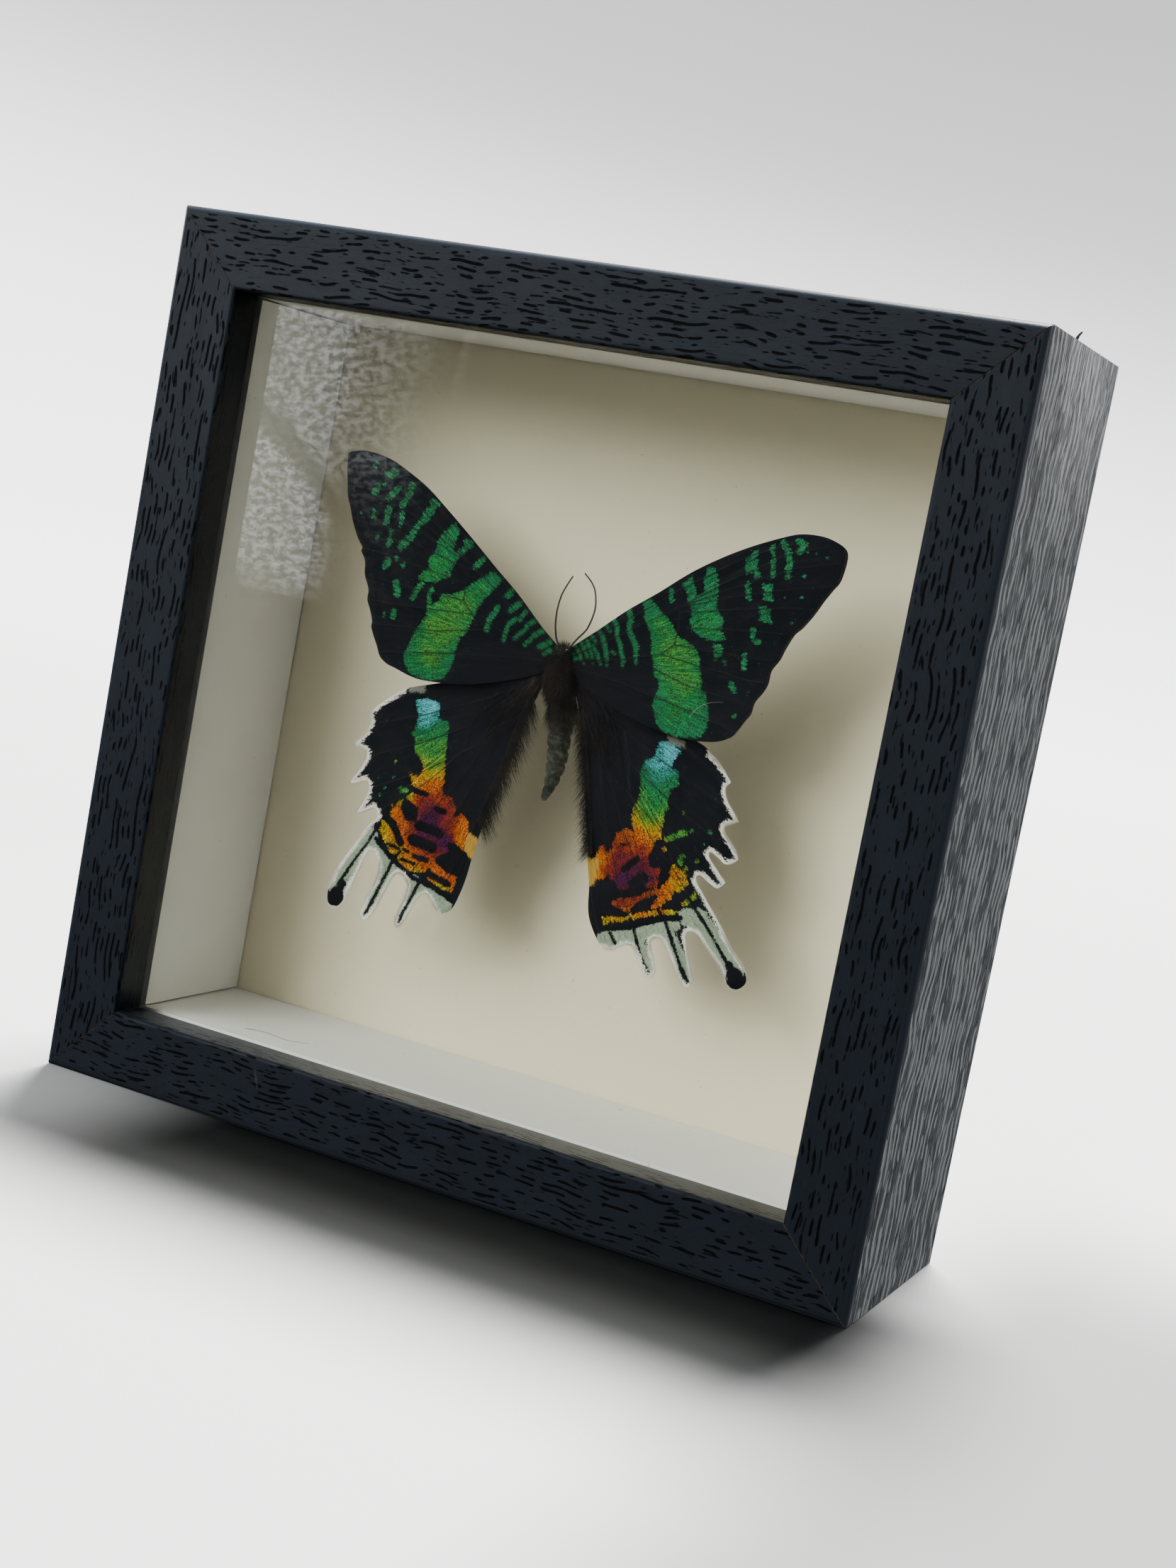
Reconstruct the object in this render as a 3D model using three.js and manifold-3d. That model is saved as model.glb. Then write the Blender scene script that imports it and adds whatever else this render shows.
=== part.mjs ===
// A framed moth specimen: a day-flying moth with banded forewings and tailed hindwings, spread and
// pinned in a square box frame with a glass front, white spacers and a cream mounting board.
//
// Millimetres, +Z up, +X to the right as seen from the front. The front face looks towards -Y and the
// origin is the middle of the flat underside.

import * as THREE from "three";
import { mergeVertices } from "three/addons/utils/BufferGeometryUtils.js";
import Module from "manifold-3d";

// Box frame
const FRAME_SIDE = 150;
const FRAME_DEPTH = 45;
const FACE_WIDTH = 12.75; // outer edge to sight edge
const LIP_DEPTH = 7; // front face to the glass
const REBATE_WIDTH = 5; // how far the lip covers the glass
const OUTER_ROUND = 1.2;
const SIGHT_ROUND = 0.6;
const MITRE_GAP = 0.1; // each rail stops this far short of the mitre plane
const FIT_GAP = 0.3; // between neighbouring pieces

// What the rails hold, from front to back
const GLASS_THICKNESS = 2;
const SPACER_THICKNESS = 4.5;
const BOARD_FROM_FACE = 38.6;
const BOARD_THICKNESS = 1.2;
const PANEL_THICKNESS = 2.5;
const PLAY = 0.5; // between the rail's inner wall and what stands inside it

// Flexible steel tabs that hold the back panel
const TAB_LENGTH = 13;
const TAB_WIDTH = 7;
const TAB_THICKNESS = 0.5;
const TAB_IN_RAIL = 4; // length pushed into the rail's slot
const TAB_FROM_MIDDLE = 36;

// Sawtooth hanger on the back panel
const HANGER_LENGTH = 44;
const HANGER_WIDTH = 8;
const HANGER_THICKNESS = 0.7;
const HANGER_FOOT = 7;
const HANGER_RISE = 0.8;
const HANGER_HEIGHT = 122; // above the underside
const HANGER_TEETH = 9;
const TOOTH_DEPTH = 1.6;
const NAIL_RADIUS = 0.8;
const NAIL_HEAD_RADIUS = 2;
const NAIL_HEAD_HEIGHT = 0.6;
const NAIL_DEPTH = 1.6; // length of shank inside the panel

// Moth
const MOTH_FROM_FACE = 21; // front face to the forewings' upper side at the body
const MOTH_HEIGHT = 87; // of the line between the wing bases, above the underside
const WING_THICKNESS = 0.3;
const FOREWING_RISE = THREE.MathUtils.degToRad(4.5); // tips towards the glass
const HINDWING_RISE = THREE.MathUtils.degToRad(0.5);
const HINDWING_BEHIND = 0.4; // hindwings' upper side behind the forewings' at the body
const STEPS_PER_SPAN = 2; // outline points from one traced point to the next
const ANTENNA_RADIUS = 0.22;
const PIN_RADIUS = 0.3;

// Wing outlines, fringe included: millimetres outwards from the body's axis and up from MOTH_HEIGHT.
// Each list of points is one smooth stretch, and two stretches meet in a corner.
const RIGHT_FOREWING = [
  [
    [0.5, 2.2], [5, 6], [10, 10.5], [15, 14.3], [20, 18.3], [25, 21.6], [30, 24.4], [35, 26.7],
    [38, 27.7], [41.5, 27.9], [44, 27.4], [45.7, 26.6], [46.3, 25.4], [46.2, 23.3], [45.8, 21.3],
    [45, 20], [43.8, 17.9], [42.9, 16], [41.3, 13.4], [40.1, 12], [39, 9.5], [38.4, 7.6],
    [37.3, 5.7], [37.2, 3.6], [36.6, 2.1], [35.6, 0.35], [35.3, -1.6], [34.5, -3], [33.4, -5.1],
    [32.5, -6.1], [30.6, -7.1], [28, -7.65], [24.8, -7.9], [18, -7.4], [12, -6], [6, -3.8],
    [2.5, -2],
  ],
];
const LEFT_FOREWING = [
  [
    [0.5, 1.6], [5, 5], [10, 9.4], [15, 13.1], [20, 16.9], [25, 20.6], [30, 24.1], [35, 26.6],
    [38, 27.7], [42, 28.2], [45.2, 27.5], [45.45, 26.2], [45, 23.9], [44.1, 20.2], [43.2, 18.1],
    [42.1, 15.5], [40.9, 13.3], [39.8, 12], [39.9, 11.3], [39, 9.9], [38.5, 7.5], [37.4, 5.2],
    [37.2, 3.4], [36.4, 1.8], [35.6, -0.1], [35.6, -1], [35, -2.3], [34, -4], [33, -5.8],
    [31.6, -6.7], [30, -7.1], [27, -7.9], [24, -8.1], [18, -7.5], [12, -6], [6, -3.8],
    [2.5, -2],
  ],
];
const RIGHT_HINDWING = [
  [[2.5, -1.5], [5, -3], [15, -5.5], [26, -8.1], [28.6, -9.5], [31, -11.2], [33.1, -13.3]],
  [[33.1, -13.3], [32.3, -14.4], [33, -16.3], [34.3, -17.7], [35.6, -19.3]],
  [[35.6, -19.3], [33.6, -20.3], [33.6, -21.4], [35.8, -23.6], [36.8, -25.2]],
  [[36.8, -25.2], [35, -26.4], [33.2, -25.5], [31.8, -25], [31.9, -26], [34, -28], [35.5, -29.3]],
  [[35.5, -29.3], [34.3, -30.5], [32.4, -29.8], [31, -29.1], [30.3, -29.7], [30.7, -30.6]],
  [
    [30.7, -30.6], [33, -33], [36.2, -36.6], [38.3, -39.2], [40.8, -41.5], [41.8, -42.9],
    [42, -44.4], [41.2, -45.5], [40.2, -45.9], [38.8, -45.4], [37.8, -43.9], [36.3, -42.2],
    [34, -40.3], [32.8, -38.9], [31.5, -38.4], [30.6, -38.7], [30.4, -39.8], [31.8, -42.8],
    [33.3, -46.6],
  ],
  [
    [33.3, -46.6], [32, -47.6], [30.1, -45.8], [28.3, -43.2], [27, -41.5], [25.9, -41],
    [24.9, -41.3], [24.6, -42.3], [25.7, -44.8], [26.4, -46.8],
  ],
  [
    [26.4, -46.8], [25.3, -47.8], [23.6, -46.2], [22.3, -44.2], [21.3, -43.4], [20, -43.6],
    [18.4, -44.9],
  ],
  [
    [18.4, -44.9], [16.4, -45], [14.7, -43.4], [13.1, -41], [12.4, -38.9], [11.8, -35.8],
    [10.7, -33.2], [9.7, -31.2], [8.5, -28], [7.3, -24.3], [6.1, -20.1], [5.5, -16.7],
    [4.5, -13], [3.4, -8], [2.2, -4.5],
  ],
];
const LEFT_HINDWING = [
  [[2.5, -1.5], [5, -3], [15, -5.8], [26, -9.4], [28.8, -10.6], [31.2, -12.5], [33.4, -14.4], [34.7, -15.9]],
  [[34.7, -15.9], [33.9, -17.4], [34.6, -19.2], [36.5, -21.9]],
  [[36.5, -21.9], [34.7, -22.1], [33.6, -22.7], [33.9, -24.6], [36.3, -28.9]],
  [[36.3, -28.9], [34.2, -27.9], [32.6, -27.4], [32, -28.4], [32.2, -30], [33.7, -33.5]],
  [[33.7, -33.5], [31.8, -32.4], [30.4, -31.7], [29.5, -32.3], [29.4, -33.4]],
  [
    [29.4, -33.4], [31.1, -35.2], [32.8, -38.4], [34.3, -41.1], [35.6, -43.6], [36.5, -46.3],
    [36.8, -48.3], [36.4, -50.1], [35.5, -50.8], [34.3, -50.2], [33.1, -48.2], [32.2, -45.5],
    [31.3, -43], [30.7, -40.6], [30.2, -39.5], [29.4, -39.1], [28.3, -39.8], [27.7, -41],
    [27.7, -43], [28.6, -46.5], [29.6, -50.3],
  ],
  [
    [29.6, -50.3], [28.4, -51.3], [26.9, -49], [25.7, -45.7], [24.8, -43.1], [24.1, -42.1],
    [23.4, -41.8], [22.2, -42.4], [21.6, -43.6], [22.1, -46.5], [23, -50.3],
  ],
  [
    [23, -50.3], [21.8, -51], [20.3, -48], [19.4, -45.6], [18.5, -44.4], [17.8, -44.1],
    [16.5, -45],
  ],
  [
    [16.5, -45], [15, -46.6], [13.8, -46.5], [12.4, -45.3], [11, -42.2], [10.4, -39.4],
    [9.9, -36.3], [9.1, -33.9], [8.4, -31], [7.6, -28.4], [6.1, -25], [4.2, -20.8],
    [3.5, -17.5], [3.2, -12], [3, -8], [2.4, -4.5],
  ],
];

// The antennae's paths from the head outwards, in the same measures as the wings.
const RIGHT_ANTENNA = [
  [1.2, 2.9], [2.3, 4.1], [3.5, 6], [4.2, 8.4], [4.3, 10.3], [3.8, 12.3], [2.9, 13.7], [1.2, 15.1],
];
const LEFT_ANTENNA = [
  [0.9, 2.9], [1.9, 3.6], [2.5, 4.7], [2.9, 6.2], [3.05, 8.4], [2.8, 10.7], [2.2, 12.4], [1.45, 14.1],
];

const HALF_SIDE = FRAME_SIDE / 2;
const FRONT_Y = -FRAME_DEPTH / 2;
const WALL_WIDTH = FACE_WIDTH - REBATE_WIDTH;
const INNER_HALF = HALF_SIDE - WALL_WIDTH; // middle of the frame to the rail's inner wall
const SIGHT_HALF = HALF_SIDE - FACE_WIDTH;
const GLASS_Y = FRONT_Y + LIP_DEPTH + FIT_GAP / 2;
const SPACER_FRONT_Y = GLASS_Y + GLASS_THICKNESS + FIT_GAP;
const BOARD_Y = FRONT_Y + BOARD_FROM_FACE;
const PANEL_Y = BOARD_Y + BOARD_THICKNESS + FIT_GAP;
const PANEL_BACK_Y = PANEL_Y + PANEL_THICKNESS;
const MOTH_Y = FRONT_Y + MOTH_FROM_FACE;

const wasm = await Module();
wasm.setup();

const finishes = {
  frame: { color: 0x2a303b, roughness: 0.5, metalness: 0 },
  glass: { color: 0xf4faf8, roughness: 0.02, metalness: 0, transparent: true, opacity: 0.15 },
  spacer: { color: 0xe9e8e4, roughness: 0.7, metalness: 0 },
  board: { color: 0xe6decb, roughness: 0.9, metalness: 0 },
  panel: { color: 0x8a6a48, roughness: 0.8, metalness: 0 },
  steel: { color: 0xa7a9ab, roughness: 0.35, metalness: 1 },
  brass: { color: 0xb08d4a, roughness: 0.35, metalness: 1 },
  wing: { color: 0x14161c, roughness: 0.85, metalness: 0 },
  body: { color: 0x2a231e, roughness: 0.95, metalness: 0 },
};

function named(name, geometry, finish) {
  const mesh = new THREE.Mesh(geometry, new THREE.MeshStandardMaterial(finishes[finish]));
  mesh.name = name;
  return mesh;
}

function toSolid(geometry) {
  const bare = geometry.clone();
  bare.deleteAttribute("normal");
  bare.deleteAttribute("uv");
  const merged = mergeVertices(bare, 1e-4);
  return new wasm.Manifold(
    new wasm.Mesh({
      numProp: 3,
      vertProperties: merged.attributes.position.array,
      triVerts: new Uint32Array(merged.index.array),
    }),
  );
}

function toGeometry(solid) {
  const mesh = solid.getMesh();
  const geometry = new THREE.BufferGeometry();
  geometry.setAttribute("position", new THREE.BufferAttribute(mesh.vertProperties, 3));
  geometry.setIndex(new THREE.BufferAttribute(mesh.triVerts, 1));
  geometry.computeVertexNormals();
  return geometry;
}

function cut(geometry, ...tools) {
  return toGeometry(tools.reduce((solid, tool) => solid.subtract(toSolid(tool)), toSolid(geometry)));
}

function join(...geometries) {
  return toGeometry(geometries.map(toSolid).reduce((whole, piece) => whole.add(piece)));
}

// A box given by its lowest and highest corners.
function slab([x0, y0, z0], [x1, y1, z1]) {
  const box = new THREE.BoxGeometry(x1 - x0, y1 - y0, z1 - z0);
  return box.translate((x0 + x1) / 2, (y0 + y1) / 2, (z0 + z1) / 2);
}

// The bottom rail about the frame's middle: the section runs inwards from the outer edge and back from
// the face, and both ends are cut at 45 degrees.
function railBody() {
  const section = new THREE.Shape();
  section.moveTo(0, FRAME_DEPTH);
  section.lineTo(0, OUTER_ROUND);
  section.absarc(OUTER_ROUND, OUTER_ROUND, OUTER_ROUND, Math.PI, 1.5 * Math.PI);
  section.lineTo(FACE_WIDTH - SIGHT_ROUND, 0);
  section.absarc(FACE_WIDTH - SIGHT_ROUND, SIGHT_ROUND, SIGHT_ROUND, -Math.PI / 2, 0);
  section.lineTo(FACE_WIDTH, LIP_DEPTH);
  section.lineTo(WALL_WIDTH, LIP_DEPTH);
  section.lineTo(WALL_WIDTH, FRAME_DEPTH);
  const rail = new THREE.ExtrudeGeometry(section, { depth: 1, bevelEnabled: false, curveSegments: 4 });
  const place = rail.attributes.position;
  for (let i = 0; i < place.count; i++) {
    const [inwards, back, along] = [place.getX(i), place.getY(i), place.getZ(i)];
    const halfLength = HALF_SIDE - inwards - MITRE_GAP;
    place.setXYZ(i, (1 - 2 * along) * halfLength, FRONT_Y + back, inwards - HALF_SIDE);
  }
  return rail;
}

function tabAt(x, grow) {
  const half = TAB_WIDTH / 2 + grow;
  const front = PANEL_BACK_Y + FIT_GAP;
  return slab(
    [x - half, front - grow, -INNER_HALF - TAB_IN_RAIL - grow],
    [x + half, front + TAB_THICKNESS + grow, -INNER_HALF - TAB_IN_RAIL + TAB_LENGTH + grow],
  );
}

function rail() {
  return cut(railBody(), tabAt(-TAB_FROM_MIDDLE, FIT_GAP), tabAt(TAB_FROM_MIDDLE, FIT_GAP));
}

function buildFrame() {
  const frame = new THREE.Group();
  frame.position.z = HALF_SIDE;
  for (const [turn, side] of ["bottom", "right", "top", "left"].entries()) {
    const angle = (-turn * Math.PI) / 2;
    const piece = named(`rail_${side}`, rail(), "frame");
    piece.rotation.y = angle;
    frame.add(piece);
    for (const [hand, x] of [["a", -TAB_FROM_MIDDLE], ["b", TAB_FROM_MIDDLE]]) {
      const tab = named(`tab_${side}_${hand}`, tabAt(x, 0), "steel");
      tab.rotation.y = angle;
      frame.add(tab);
    }
  }
  return frame;
}

// The glass, the mounting board and the back panel are square sheets that fill the rebate.
function sheet(front, thickness) {
  const half = INNER_HALF - PLAY;
  return slab([-half, front, -half], [half, front + thickness, half]);
}

function buildFilling() {
  const filling = new THREE.Group();
  filling.position.z = HALF_SIDE;
  filling.add(named("glass_pane", sheet(GLASS_Y, GLASS_THICKNESS), "glass"));
  filling.add(named("mount_board", sheet(BOARD_Y, BOARD_THICKNESS), "board"));
  const back = BOARD_Y - FIT_GAP;
  const outer = SIGHT_HALF + SPACER_THICKNESS;
  const inner = SIGHT_HALF - FIT_GAP;
  for (const [side, sign] of [["bottom", -1], ["top", 1]]) {
    const [low, high] = sign < 0 ? [-outer, -SIGHT_HALF] : [SIGHT_HALF, outer];
    const strip = slab([-outer, SPACER_FRONT_Y, low], [outer, back, high]);
    filling.add(named(`spacer_${side}`, strip, "spacer"));
  }
  for (const [side, sign] of [["left", -1], ["right", 1]]) {
    const [low, high] = sign < 0 ? [-outer, -SIGHT_HALF] : [SIGHT_HALF, outer];
    const strip = slab([low, SPACER_FRONT_Y, -inner], [high, back, inner]);
    filling.add(named(`spacer_${side}`, strip, "spacer"));
  }
  return filling;
}

const NAIL_X = HANGER_LENGTH / 2 - HANGER_FOOT / 2;

// A round bar along Y, from one depth to another.
function barAlongY(radius, from, to, x, z, sides) {
  const bar = new THREE.CylinderGeometry(radius, radius, to - from, sides);
  return bar.translate(0, (from + to) / 2, 0).translate(x, 0, z);
}

function panel() {
  const sheetPiece = sheet(PANEL_Y, PANEL_THICKNESS).translate(0, 0, HALF_SIDE);
  const holes = [-NAIL_X, NAIL_X].map((x) =>
    barAlongY(NAIL_RADIUS, PANEL_BACK_Y - NAIL_DEPTH, PANEL_BACK_Y + 1, x, HANGER_HEIGHT, 16),
  );
  return cut(sheetPiece, ...holes);
}

// A steel strip with its two feet on the panel, its middle raised, and teeth along the lower edge.
function hanger() {
  const foot = PANEL_BACK_Y + FIT_GAP;
  const top = foot + HANGER_RISE;
  const half = HANGER_LENGTH / 2;
  const bend = half - HANGER_FOOT;
  const strip = new THREE.Shape();
  const lower = [[-half, foot], [-bend, foot], [1 - bend, top], [bend - 1, top], [bend, foot], [half, foot]];
  const upper = lower.map(([x, y]) => [x, y + HANGER_THICKNESS]).reverse();
  strip.setFromPoints([...lower, ...upper].map(([x, y]) => new THREE.Vector2(x, y)));
  const body = new THREE.ExtrudeGeometry(strip, { depth: HANGER_WIDTH, bevelEnabled: false });
  body.translate(0, 0, HANGER_HEIGHT - HANGER_WIDTH / 2);
  const pitch = (2 * (bend - 2)) / HANGER_TEETH;
  const low = HANGER_HEIGHT - HANGER_WIDTH / 2;
  const notches = [];
  for (let i = 0; i < HANGER_TEETH; i++) {
    const middle = 2 - bend + (i + 0.5) * pitch;
    const notch = new THREE.Shape([
      new THREE.Vector2(middle - 0.42 * pitch, -1),
      new THREE.Vector2(middle + 0.42 * pitch, -1),
      new THREE.Vector2(middle, TOOTH_DEPTH),
    ]);
    const cutter = new THREE.ExtrudeGeometry(notch, { depth: 6, bevelEnabled: false });
    notches.push(cutter.rotateX(Math.PI / 2).translate(0, top + 3, low));
  }
  const holes = [-NAIL_X, NAIL_X].map((x) =>
    barAlongY(NAIL_RADIUS, foot - 1, top + 3, x, HANGER_HEIGHT, 16),
  );
  return cut(body, ...notches, ...holes);
}

// A round-headed nail through the hanger's foot, in one turned piece.
function nail(x) {
  const under = PANEL_BACK_Y + FIT_GAP + HANGER_THICKNESS + 0.1;
  const shank = NAIL_RADIUS - 0.2;
  const profile = [
    [0, PANEL_BACK_Y - NAIL_DEPTH + 0.3],
    [shank, PANEL_BACK_Y - NAIL_DEPTH + 0.6],
    [shank, under],
    [NAIL_HEAD_RADIUS, under],
    [NAIL_HEAD_RADIUS * 0.72, under + 0.7 * NAIL_HEAD_HEIGHT],
    [0, under + NAIL_HEAD_HEIGHT],
  ].map(([r, y]) => new THREE.Vector2(r, y));
  return new THREE.LatheGeometry(profile, 16).translate(x, 0, HANGER_HEIGHT);
}

function buildBack() {
  const back = new THREE.Group();
  back.add(named("back_panel", panel(), "panel"));
  back.add(named("hanger", hanger(), "steel"));
  back.add(named("hanger_nail_left", nail(-NAIL_X), "brass"));
  back.add(named("hanger_nail_right", nail(NAIL_X), "brass"));
  return back;
}

// A ball stretched to three radii, each grown by the same clearance.
function ball([x, y, z], [rx, ry, rz], grow) {
  const shape = new THREE.SphereGeometry(1, 20, 14);
  return shape.scale(rx + grow, ry + grow, rz + grow).translate(x, y, z);
}

// A closed tube of round sections [x, y, z, radius], with its rings level in Z.
function tapered(sections, grow, sides) {
  const curve = new THREE.CatmullRomCurve3(sections.map(([x, y, z]) => new THREE.Vector3(x, y, z)));
  const rings = 4 * (sections.length - 1);
  const profile = new THREE.CylinderGeometry(1, 1, 1, sides, rings);
  const place = profile.attributes.position;
  for (let i = 0; i < place.count; i++) {
    const t = 0.5 - place.getY(i);
    const at = curve.getPoint(t);
    const span = Math.min(Math.floor(t * (sections.length - 1)), sections.length - 2);
    const part = t * (sections.length - 1) - span;
    const radius = THREE.MathUtils.lerp(sections[span][3], sections[span + 1][3], part) + grow;
    place.setXYZ(i, at.x + place.getX(i) * radius, at.y - place.getZ(i) * radius, at.z);
  }
  return profile;
}

// Head with its two eyes, furry thorax and abdomen, as one body. The abdomen hangs behind the wings.
function mothBody(grow) {
  const head = ball([0, -0.6, 2.3], [1.7, 1.7, 1.9], grow);
  const eyes = [-1.1, 1.1].map((x) => ball([x, -0.9, 2.7], [0.9, 1.1, 1], grow));
  const thorax = ball([0, 0.9, -2.6], [3.3, 3.7, 5], grow);
  const abdomen = tapered(
    [[0, 1.4, -4.5, 2.7], [0.2, 2.2, -9, 2.6], [0.5, 2.9, -14, 2.4], [0.5, 3.3, -19, 1.9], [0.3, 3.4, -23.6, 0.5]],
    grow,
    20,
  );
  return join(thorax, head, ...eyes, abdomen);
}

// A wing's flat plate. Its upper side faces -Y, and side is +1 for a right wing and -1 for a left one.
function wingPlate(stretches, side) {
  const outline = [];
  for (const stretch of stretches) {
    const curve = new THREE.SplineCurve(stretch.map(([u, v]) => new THREE.Vector2(side * u, v)));
    const points = curve.getPoints(STEPS_PER_SPAN * (stretch.length - 1));
    outline.push(...points.slice(0, stretches.length > 1 ? -1 : undefined));
  }
  if (stretches.length > 1) {
    const [u, v] = stretches.at(-1).at(-1);
    outline.push(new THREE.Vector2(side * u, v));
  }
  const plate = new THREE.ExtrudeGeometry(new THREE.Shape(outline), {
    depth: WING_THICKNESS,
    bevelEnabled: false,
  });
  return plate.rotateX(Math.PI / 2).translate(0, WING_THICKNESS, 0);
}

function wing(name, stretches, side, rise, behind) {
  const plate = wingPlate(stretches, side);
  plate.rotateZ(-side * rise).translate(0, behind, 0);
  return named(name, cut(plate, mothBody(FIT_GAP)), "wing");
}

function antenna(name, path, side) {
  const lift = 0.9; // in front of the wing bases
  const points = path.map(([u, v]) => new THREE.Vector3(side * u, -lift, v));
  const curve = new THREE.CatmullRomCurve3(points);
  const section = new THREE.Shape();
  section.absarc(0, 0, ANTENNA_RADIUS, 0, 2 * Math.PI);
  const tube = new THREE.ExtrudeGeometry(section, {
    steps: 16,
    extrudePath: curve,
    curveSegments: 4,
    bevelEnabled: false,
  });
  return named(name, cut(tube, mothBody(FIT_GAP)), "body");
}

function buildMoth() {
  const moth = new THREE.Group();
  moth.position.set(0, MOTH_Y, MOTH_HEIGHT);
  moth.add(named("moth_body", mothBody(0), "body"));
  moth.add(wing("forewing_right", RIGHT_FOREWING, 1, FOREWING_RISE, 0));
  moth.add(wing("forewing_left", LEFT_FOREWING, -1, FOREWING_RISE, 0));
  moth.add(wing("hindwing_right", RIGHT_HINDWING, 1, HINDWING_RISE, HINDWING_BEHIND));
  moth.add(wing("hindwing_left", LEFT_HINDWING, -1, HINDWING_RISE, HINDWING_BEHIND));
  moth.add(antenna("antenna_right", RIGHT_ANTENNA, 1));
  moth.add(antenna("antenna_left", LEFT_ANTENNA, -1));
  const pinFrom = 4.6 + FIT_GAP;
  const pinTo = BOARD_Y - MOTH_Y - FIT_GAP;
  moth.add(named("specimen_pin", barAlongY(PIN_RADIUS, pinFrom, pinTo, 0, -2.6, 12), "steel"));
  return moth;
}

const specimen = new THREE.Group();
specimen.name = "framed_moth_specimen";
specimen.add(buildFrame(), buildFilling(), buildBack(), buildMoth());

export default specimen;
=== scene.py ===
"""A framed moth specimen: a banded, tailed day-flying moth behind glass in a foil-wrapped box frame."""

import math

import bmesh
import bpy
import numpy as np
from bpy.props import FloatProperty, FloatVectorProperty, PointerProperty
from mathutils import Matrix, Vector
from mathutils.geometry import delaunay_2d_cdt


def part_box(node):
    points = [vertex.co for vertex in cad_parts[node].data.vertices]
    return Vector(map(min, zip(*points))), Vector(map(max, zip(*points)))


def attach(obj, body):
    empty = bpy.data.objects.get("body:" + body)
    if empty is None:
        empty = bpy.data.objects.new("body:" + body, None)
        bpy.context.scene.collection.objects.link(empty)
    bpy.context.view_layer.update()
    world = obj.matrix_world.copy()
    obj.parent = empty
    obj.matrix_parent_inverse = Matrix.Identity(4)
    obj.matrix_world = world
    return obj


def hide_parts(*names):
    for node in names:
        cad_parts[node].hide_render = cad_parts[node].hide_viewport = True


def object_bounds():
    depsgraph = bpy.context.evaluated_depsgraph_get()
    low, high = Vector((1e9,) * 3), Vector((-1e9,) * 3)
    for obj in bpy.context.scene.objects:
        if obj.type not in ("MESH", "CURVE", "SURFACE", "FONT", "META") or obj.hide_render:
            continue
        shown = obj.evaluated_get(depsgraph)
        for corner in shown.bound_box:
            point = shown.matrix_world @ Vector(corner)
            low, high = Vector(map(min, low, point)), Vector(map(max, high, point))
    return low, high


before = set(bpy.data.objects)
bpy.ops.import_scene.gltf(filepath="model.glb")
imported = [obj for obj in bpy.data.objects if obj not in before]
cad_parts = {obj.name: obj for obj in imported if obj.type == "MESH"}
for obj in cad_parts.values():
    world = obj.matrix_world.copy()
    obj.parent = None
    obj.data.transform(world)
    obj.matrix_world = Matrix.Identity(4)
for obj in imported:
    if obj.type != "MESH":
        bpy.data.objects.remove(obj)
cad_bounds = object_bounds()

bl_info = {
    "name": "Framed moth specimen",
    "version": (1, 0, 0),
    "blender": (4, 5, 0),
    "location": "3D View > Sidebar > Specimen",
    "description": "Dresses a glazed box frame and the moth pinned in it",
    "category": "Object",
}

MM = 0.001
FACING = Vector((0, -1, 0))

# The moth's own measures: millimetres outwards from the body's axis and up from the wing bases.
WING_BASE_HEIGHT = 87.0
MOTH_PLANE = -1.5
FOREWING_RISE = math.radians(4.5)
HINDWING_RISE = math.radians(0.5)
HINDWING_BEHIND = 0.4


# Properties


def length(name, description, millimetres):
    return FloatProperty(name=name, description=description, default=millimetres * MM, unit="LENGTH")


def colour(name, description, value):
    return FloatVectorProperty(
        name=name, description=description, default=value, subtype="COLOR", size=3, min=0, max=1
    )


def power(name, description, watts):
    return FloatProperty(name=name, description=description, default=watts, unit="POWER")


class FrameSettings(bpy.types.PropertyGroup):
    face: length("Face", "Width of a rail from the outer edge to the sight edge", 12.75)
    lip: length("Lip", "Depth of the lip from the face to the glass", 7.0)
    rebate: length("Rebate", "How far the lip covers the glass", 5.0)
    outer_round: length("Outer rounding", "Radius of the outer front edge", 1.2)
    sight_round: length("Sight rounding", "Radius of the edge round the opening", 0.6)
    mitre_gap: length("Mitre gap", "Distance from each rail's end to the mitre plane", 0.03)
    foil: colour("Foil", "Slate colour of the wood-grain foil", (0.017, 0.0225, 0.031))
    pore: colour("Pores", "Colour in the foil's pressed pores", (0.0012, 0.0014, 0.0018))
    # Painted sheen: the outer sides' light streaks and lighter ground stand in for the embossed foil catching
    # the light.
    streak: colour("Streaks", "Light streaks of the foil's outer sides", (0.27, 0.28, 0.285))
    side: colour("Outer sides", "Ground colour of the outer sides", (0.05, 0.055, 0.06))


class FillingSettings(bpy.types.PropertyGroup):
    card: colour("Card", "White card of the spacers", (0.78, 0.78, 0.765))
    board: colour("Board", "Cream mounting board", (0.76, 0.69, 0.50))
    hardboard: colour("Hardboard", "Back panel", (0.23, 0.135, 0.07))
    glass_ior: FloatProperty(name="Glass IOR", description="Refraction of the pane", default=1.5)


class MothSettings(bpy.types.PropertyGroup):
    cell: length("Cell", "Spacing of the wings' mesh points", 0.22)
    thickness: length("Wing thickness", "Thickness of a wing", 0.12)
    black: colour("Black", "Ground colour of the wings", (0.0035, 0.0042, 0.0062))
    brown: colour("Brown", "Hairs of the body and the wing bases", (0.045, 0.03, 0.02))
    fringe: colour("Fringe", "White scales along the hindwing's edge", (0.8, 0.77, 0.68))
    mint: colour("Mint", "Pale scales of the tails", (0.3, 0.37, 0.27))
    tan: colour("Tan", "Hairs of the hindwing's inner margin", (0.4, 0.23, 0.035))
    fringe_length: length("Fringe length", "Length of the fringe scales", 1.0)
    margin_hair: length("Margin hair", "Length of the hairs along the hindwing's inner edge", 5.4)
    fur: length("Fur", "Length of the thorax's fur", 1.9)


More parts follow.
